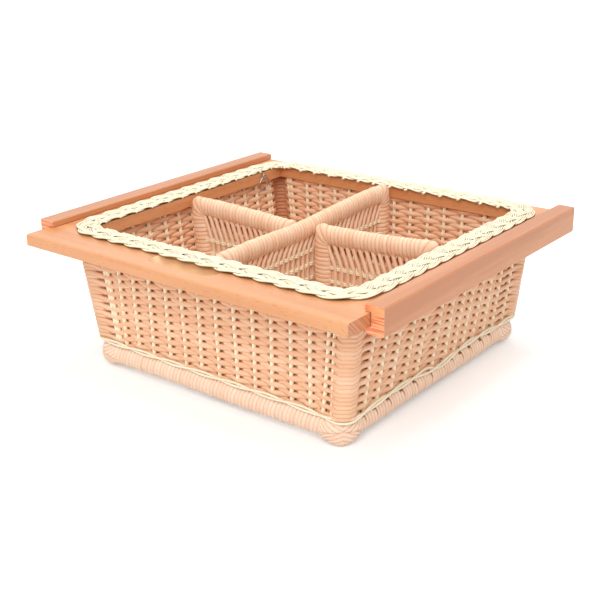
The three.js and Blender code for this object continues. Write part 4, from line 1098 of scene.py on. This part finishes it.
def add_pairs(surfaces, to_space, low_at, high_at, first_pair, first_place):
    """Pairs of cream canes on both faces of a panel, in level lines from first_pair down."""
    for line in np.arange(first_pair, FOOT + PAIR_LOWEST, -PAIR_LINES):
        ends = low_at(line) + 1, high_at(line) - 1
        along = np.linspace(*ends, int((ends[1] - ends[0]) / 1.4))
        cosine = np.cos(2 * np.pi * (along - first_place) / CANE_PITCH)
        wave = np.sign(cosine) * np.abs(cosine) ** 0.5
        for step in (-PAIR_STEP, PAIR_STEP):
            z = np.full_like(along, line + step) + 0.2 * np.sin(along / 9)
            for layer in (1, -1):
                path = to_space(along, layer * (PAIR_OFF - PAIR_SWING * wave), z)
                cane(surfaces, path, (0, 0, 1), PAIR_HALF_WIDTH, PAIR_HALF_HEIGHT, sides=6)


print("uprights", CANE_PITCH, "mm apart, pairs", PAIR_LINES, "mm apart")

# %% A divider
def post_line(top, top_height, foot):
    """A post's place at a height, straight from its top to its foot."""
    return lambda z: foot + (top - foot) * (np.asarray(z, float) - FOOT) / (top_height - FOOT)


def make_divider(name, to_space, posts, bow, first_pair, lean):
    """One divider: its wrapped hoop, its uprights and its cream pairs."""
    line = hoop_line(*posts, bow)
    path = to_space(line[:, 0], 0.0, line[:, 1])
    hoop = Surfaces()
    flat = to_space(0.0, 1.0, 0.0) - to_space(0.0, 0.0, 0.0)
    aside = np.cross((0, 0, 1), flat)
    outer = -1 if aside @ (path.mean(axis=0) - path[0]) > 0 else 1
    wrapped_roll(hoop, path, flat, ROLL_HALF_DEPTH, ROLL_HALF_WIDTH, around=28, depth=1.0, wrap=6.05,
                 shade=0.65, squared=(outer, bend_growth(line)))
    frame_piece = hoop.mesh_object(f"{name}_hoop", partition_cane_painted_light)
    ends = post_line(*posts[0]), post_line(*posts[1])
    uprights, pairs = Surfaces(), Surfaces()
    first_place = add_uprights(uprights, to_space, *ends, roof_of(line), first_pair, lean)
    add_pairs(pairs, to_space, *ends, first_pair, first_place)
    panel = uprights.mesh_object(f"{name}_uprights", partition_cane_painted_light)
    lines = pairs.mesh_object(f"{name}_pairing", stake_cane)
    for piece, finish in ((frame_piece, "peach_cane"), (panel, "peach_cane"), (lines, "cream_cane")):
        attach(piece, "partition")
    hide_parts(f"{name}_frame")
    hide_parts(f"{name}_weave")


def along_y(along, off, z):
    """The long divider's plane: along runs to the rear, and off to the right."""
    along, off, z = np.broadcast_arrays(*(np.asarray(v, float) for v in (along, off, z)))
    return np.stack([off, along, z], axis=-1)


def along_x(middle_y, sign):
    """A short divider's plane: along runs outward from the middle, and off to the front."""
    def to_space(along, off, z):
        along, off, z = np.broadcast_arrays(*(np.asarray(v, float) for v in (along, off, z)))
        return np.stack([sign * along, middle_y - off, z], axis=-1)
    return to_space


print("the long divider's plane turns (1, 2, 3) into", along_y(1, 2, 3).tolist())

# %% Long divider
# The front and the rear post: place at the top, height, and place at the foot
LONG_POSTS = (-157.0, 184.0, -155.2), (199.0, 192.0, 196.2)
make_divider("long_divider", along_y, LONG_POSTS,
             lambda y: 1.6 * np.exp(-((y - 150) / 40) ** 2) - 3.4 * np.exp(-((y + 5) / 60) ** 2), 153.0, -1)

# %% Short dividers
SHORT_Y = {"left": 12.0, "right": 23.0}
SHORT_POSTS = (23.6, 179.0, 23.6), (197.8, 186.0, 179.3)
BOWS = {
    "right": lambda x: 3.0 * np.clip((x - 100) / 90, 0, 1) ** 2,
    "left": lambda x: 1.2 * np.sin(np.pi * np.clip((x - 20) / 170, 0, 1)),
}
for side, sign, first_pair, lean in (("right", 1, 135.0, 1), ("left", -1, 136.0, -1)):
    make_divider(f"{side}_divider", along_x(SHORT_Y[side], sign), SHORT_POSTS, BOWS[side], first_pair, lean)

# %% [markdown]
# ## Screw eye and ring
#
# A bent wire eye is screwed into the left side member, and a small ring hangs in it. A ring is a circle
# carried round a larger circle. The primitive torus would do, but the same grid function as for the canes
# gives round wire with smooth shading, and the eye needs its shank as well.

# %% Wire finish
nodes = Nodes("wire_steel")
wire_place = nodes.attribute("cane_place").outputs["Vector"]
scratches = nodes.noise(nodes.scaled(wire_place, (300, 4000, 4000)), 1.0)
color = nodes.mix(nodes.ramp(scratches, 0.4, 0.7), linear(196, 194, 190), linear(150, 148, 146))
roughness = nodes.math("ADD", nodes.math("MULTIPLY", scratches, 0.2), 0.2)
wire_steel = nodes.finish(color, roughness, Normal=nodes.bump(scratches, 0.15, 0.0001), Metallic=1.0)
print("wire finish", wire_steel.name)

# %% Screw eye and ring
EYE_CENTRE = np.array([-208.7, 174.4, 191.5])
EYE_RADIUS, RING_RADIUS, WIRE = 3.1, 10.9, 0.9
RING_HEIGHT = 179.6
# The shank runs from the top of the eye into the side member
SHANK_START, SHANK_LENGTH = np.array([-0.6, 0, EYE_RADIUS]), 9.0


def wire_circle(centre, radius, steps):
    """A circle in the plane that faces sideways: the cosine rearward and the sine upward."""
    angle = 2 * np.pi * np.arange(steps) / steps
    return centre + radius * np.stack([0 * angle, np.cos(angle), np.sin(angle)], axis=-1)


eye = Surfaces()
cane(eye, wire_circle(EYE_CENTRE, EYE_RADIUS, 48), (1, 0, 0), WIRE, WIRE, sides=14, closed=True)
shank = np.linspace(0, 1, 12)[:, None] * np.array([-SHANK_LENGTH, 0, 0]) + EYE_CENTRE + SHANK_START
cane(eye, shank, (0, 0, 1), WIRE, WIRE, sides=14)
eye_piece = eye.mesh_object("wire_eye", wire_steel)
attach(eye_piece, "basket")
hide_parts("screw_eye")

ring = Surfaces()
ring_centre = np.array([EYE_CENTRE[0], EYE_CENTRE[1], RING_HEIGHT])
cane(ring, wire_circle(ring_centre, RING_RADIUS, 80), (1, 0, 0), WIRE, WIRE, sides=14, closed=True)
ring_piece = ring.mesh_object("wire_ring", wire_steel)
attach(ring_piece, "ring")
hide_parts("pull_ring")

# %% [markdown]
# ## Beech
#
# The frame and the runners are lacquered beech. Their grain runs along each board. Growth rings show as
# slow bands, and the wood's rays as short dark flecks, a few millimetres long and less than half a
# millimetre wide. Both are noises on Object coordinates that are stretched along the grain, one way for
# boards that run across and the other for boards that run from front to rear. The clear lacquer is a coat
# on top.
#
# Where a board is cut across the grain it looks different. The runners' front ends and the front board's
# ends get stripes of their own, and the finger recess in the front board is paler, with a painted shadow
# along its near edge. Such a place is found by comparing a point's coordinates with the place of the cut.

# %% Beech finish
# Light and dark wood, and the flecks
BEECH = linear(231, 165, 114), linear(218, 146, 92), linear(188, 115, 68)


def between(nodes, value, middle, reach):
    """1 where a value lies within reach of a middle, and 0 elsewhere."""
    away = nodes.math("ABSOLUTE", nodes.math("SUBTRACT", value, middle))
    return nodes.math("LESS_THAN", away, reach)


def beech_material(name, grain_axis, light, dark, fleck, cut=None):
    """Beech with its grain along one axis: bands, pores and flecks, under a coat of clear lacquer.

    cut takes the nodes, the point, the bands and the colour, and returns the colour with that of cut ends.
    """
    nodes = Nodes(name)
    place = nodes.node("ShaderNodeTexCoord").outputs["Object"]

    def along_grain(fine, coarse):
        return tuple(coarse if axis == grain_axis else fine for axis in range(3))

    bands = nodes.noise(nodes.scaled(place, along_grain(38, 2.6)), 1.0, detail=3.0, roughness=0.55)
    slow = nodes.noise(nodes.scaled(place, along_grain(9, 3.0)), 1.0, detail=1.0)
    pores = nodes.noise(nodes.scaled(place, along_grain(1500, 42)), 1.0, detail=2.0)
    flecks = nodes.noise(nodes.scaled(place, along_grain(620, 130), (0.3, 0.2, 0.7)), 1.0, detail=1.0)
    color = nodes.mix(nodes.ramp(bands, 0.35, 0.65), light, dark)
    color = nodes.mix(nodes.math("MULTIPLY", nodes.ramp(slow, 0.4, 0.7), 0.35), color, light)
    color = nodes.mix(nodes.math("MULTIPLY", nodes.ramp(pores, 0.5, 0.7), 0.35), color, dark)
    color = nodes.mix(nodes.math("MULTIPLY", nodes.ramp(flecks, 0.6, 0.72), 0.4), color, fleck)
    if cut is not None:
        color = cut(nodes, place, bands, color)
    height = nodes.math("ADD", pores, nodes.math("MULTIPLY", flecks, 0.5))
    roughness = nodes.math("ADD", nodes.math("MULTIPLY", pores, 0.16), 0.32)
    return nodes.finish(color, roughness, Normal=nodes.bump(height, 0.12, 0.0002), Coat_Weight=0.35,
                        Coat_Roughness=0.18)


beech_deep = beech_material("beech_deep", 1, *BEECH)
print("boards from front to rear", beech_deep.name)

# %% Cut ends of the runners
# In metres: what lies nearer than this belongs to a runner's front end
RUNNER_END = -0.2096


def runner_ends(nodes, place, bands, color):
    """Level stripes of the saw on the runners' front ends."""
    y = nodes.node("ShaderNodeSeparateXYZ", {"Vector": place}).outputs["Y"]
    saw = nodes.noise(nodes.scaled(place, (40, 40, 900)), 1.0, detail=2.0)
    sawn = nodes.mix(nodes.ramp(saw, 0.42, 0.66), linear(250, 176, 122), linear(226, 108, 62))
    return nodes.mix(nodes.math("LESS_THAN", y, RUNNER_END), color, sawn)


beech_runner = beech_material("beech_runner", 1, linear(216, 148, 102), linear(199, 127, 80),
                              linear(196, 122, 78), cut=runner_ends)
print("runners", beech_runner.name)

# %% Cut places of the boards that run across
# In metres: the top of the recess, its middle and half its size in x and y, and how far the painted
# shadow along its near edge reaches
RECESS_TOP, RECESS_MIDDLE, RECESS_HALF = 0.1966, (-0.006, -0.217), (0.0565, 0.0165)
RECESS_SHADOW_EDGE = -0.2287
BOARD_END = 0.2633
STRIPES = 420.0


def board_cuts(nodes, place, bands, color):
    """The paler finger recess, painted shadow at its near edge, and slanting stripes on the boards' ends.
    """
    axes = nodes.node("ShaderNodeSeparateXYZ", {"Vector": place}).outputs
    sides = [between(nodes, axes[axis], RECESS_MIDDLE[k], RECESS_HALF[k]) for k, axis in enumerate("XY")]
    recess = nodes.math("MULTIPLY", nodes.math("MULTIPLY", *sides),
                        nodes.math("LESS_THAN", axes["Z"], RECESS_TOP))
    recess_wood_and_shadow = nodes.mix(nodes.ramp(bands, 0.35, 0.65), linear(240, 188, 138), linear(224, 166, 114))
    # Painted shadow: a dark line along the recess's near edge
    edge = nodes.math("LESS_THAN", axes["Y"], RECESS_SHADOW_EDGE)
    recess_wood_and_shadow = nodes.mix(nodes.math("MULTIPLY", edge, 0.75), recess_wood_and_shadow, linear(196, 124, 78))
    color = nodes.mix(recess, color, recess_wood_and_shadow)
    inputs = {"W": nodes.math("ADD", axes["Y"], axes["Z"]), "Scale": STRIPES, "Detail": 1.0}
    stripes = nodes.node("ShaderNodeTexNoise", inputs, noise_dimensions="1D").outputs["Fac"]
    sawn = nodes.mix(nodes.ramp(stripes, 0.42, 0.6), linear(218, 148, 102), linear(186, 112, 72))
    return nodes.mix(nodes.math("GREATER_THAN", nodes.math("ABSOLUTE", axes["X"]), BOARD_END), color, sawn)


beech_across = beech_material("beech_across", 0, *BEECH, cut=board_cuts)
print("boards across", beech_across.name)

# %% Wooden parts
EDGE_WIDTH = 0.0012
WOOD = {"front_board": beech_across, "rear_rail": beech_across, "left_side_member": beech_deep,
        "right_side_member": beech_deep, "left_runner": beech_runner, "right_runner": beech_runner}
for name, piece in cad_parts.items():
    material = WOOD.get(name, beech_deep if name.startswith("dowel") else None)
    if material is None:
        continue
    for slot in piece.material_slots:
        slot.material = material
    if name in WOOD:
        bevel = piece.modifiers.new("soft_edge", "BEVEL")
        bevel.width = EDGE_WIDTH
        bevel.segments = 3
        bevel.limit_method = "ANGLE"
        bevel.angle_limit = math.radians(50)
print("wood", sorted(WOOD))

# %% [markdown]
# ## Floor and light
#
# The photograph has a white ground and very soft light, which comes mostly from high in front and to the
# right. The floor is a plain plane whose colour is nearly white. For the camera alone it also glows, a
# little near the basket and more further away, so that it stays white while it still takes the basket's
# shadow. The world gives the even light, and it looks white where the camera or a glossy face sees it. One
# large lamp gives the direction, a weak one fills the left side, and one above reaches into the basket.

# %% Floor
FLOOR_HALF = 9
# The glow beside the basket and its growth, between two distances from the middle in metres
GLOW, GLOW_GROWTH, GLOW_NEAR, GLOW_FAR = 0.24, 0.5, 0.3, 2.0
# The light that the wood and cane throw on the floor is warm, and this evens it out
GLOW_COLOR = (0.84, 0.96, 1, 1)
nodes = Nodes("floor_white")
seen = nodes.node("ShaderNodeLightPath").outputs["Is Camera Ray"]
ground = nodes.node("ShaderNodeTexCoord").outputs["Object"]
mottle = nodes.ramp(nodes.noise(ground, 3.0), 0.3, 0.7)
paper = nodes.mix(mottle, linear(250, 250, 250), linear(246, 246, 246))
away = nodes.node("ShaderNodeVectorMath", {0: ground}, operation="LENGTH").outputs["Value"]
growth = nodes.math("MULTIPLY", nodes.ramp(away, GLOW_NEAR, GLOW_FAR), GLOW_GROWTH)
glow = nodes.math("MULTIPLY", seen, nodes.math("ADD", growth, GLOW))
floor_white = nodes.finish(paper, 0.9, Emission_Color=GLOW_COLOR, Emission_Strength=glow)
floor_mesh = bpy.data.meshes.new("floor")
corners = [(x * FLOOR_HALF, y * FLOOR_HALF, 0) for x, y in ((-1, -1), (1, -1), (1, 1), (-1, 1))]
floor_mesh.from_pydata(corners, [], [(0, 1, 2, 3)])
floor_mesh.materials.append(floor_white)
floor = bpy.data.objects.new("floor", floor_mesh)
bpy.context.scene.collection.objects.link(floor)
print("floor", 2 * FLOOR_HALF, "m wide")

# %% World
WORLD_LIGHT, WORLD_SEEN = 0.58, 1.0
world = bpy.data.worlds.new("studio")
world.use_nodes = True
tree = world.node_tree
tree.nodes.clear()
path = tree.nodes.new("ShaderNodeLightPath")
shown = tree.nodes.new("ShaderNodeMath")
shown.operation = "MAXIMUM"
tree.links.new(path.outputs["Is Camera Ray"], shown.inputs[0])
tree.links.new(path.outputs["Is Glossy Ray"], shown.inputs[1])
strength = tree.nodes.new("ShaderNodeMapRange")
tree.links.new(shown.outputs[0], strength.inputs["Value"])
strength.inputs["To Min"].default_value = WORLD_LIGHT
strength.inputs["To Max"].default_value = WORLD_SEEN
background = tree.nodes.new("ShaderNodeBackground")
background.inputs["Color"].default_value = (1, 1, 1, 1)
tree.links.new(strength.outputs["Result"], background.inputs["Strength"])
output = tree.nodes.new("ShaderNodeOutputWorld")
tree.links.new(background.outputs[0], output.inputs["Surface"])
bpy.context.scene.world = world
bpy.context.scene.view_settings.view_transform = "Standard"
print("world light", WORLD_LIGHT)

# %% Lamps
LAMP_TARGET = (0, 0, 0.1)
# Each lamp's place, size in metres, and power in watts
LAMPS = {"key": ((1.9, -3.3, 3.5), 2.8, 122), "side": ((-2.2, -1.3, 1.4), 1.6, 5),
         "above": ((0.0, 0.2, 2.2), 1.4, 20)}
for name, (place, size, power) in LAMPS.items():
    data = bpy.data.lights.new(name, "AREA")
    data.shape = "SQUARE"
    data.size = size
    data.energy = power
    lamp = bpy.data.objects.new(name, data)
    lamp.location = place
    lamp.rotation_euler = (Vector(LAMP_TARGET) - Vector(place)).to_track_quat("-Z", "Y").to_euler()
    bpy.context.scene.collection.objects.link(lamp)
print("lamps", {name: power for name, (place, size, power) in LAMPS.items()}, "W")
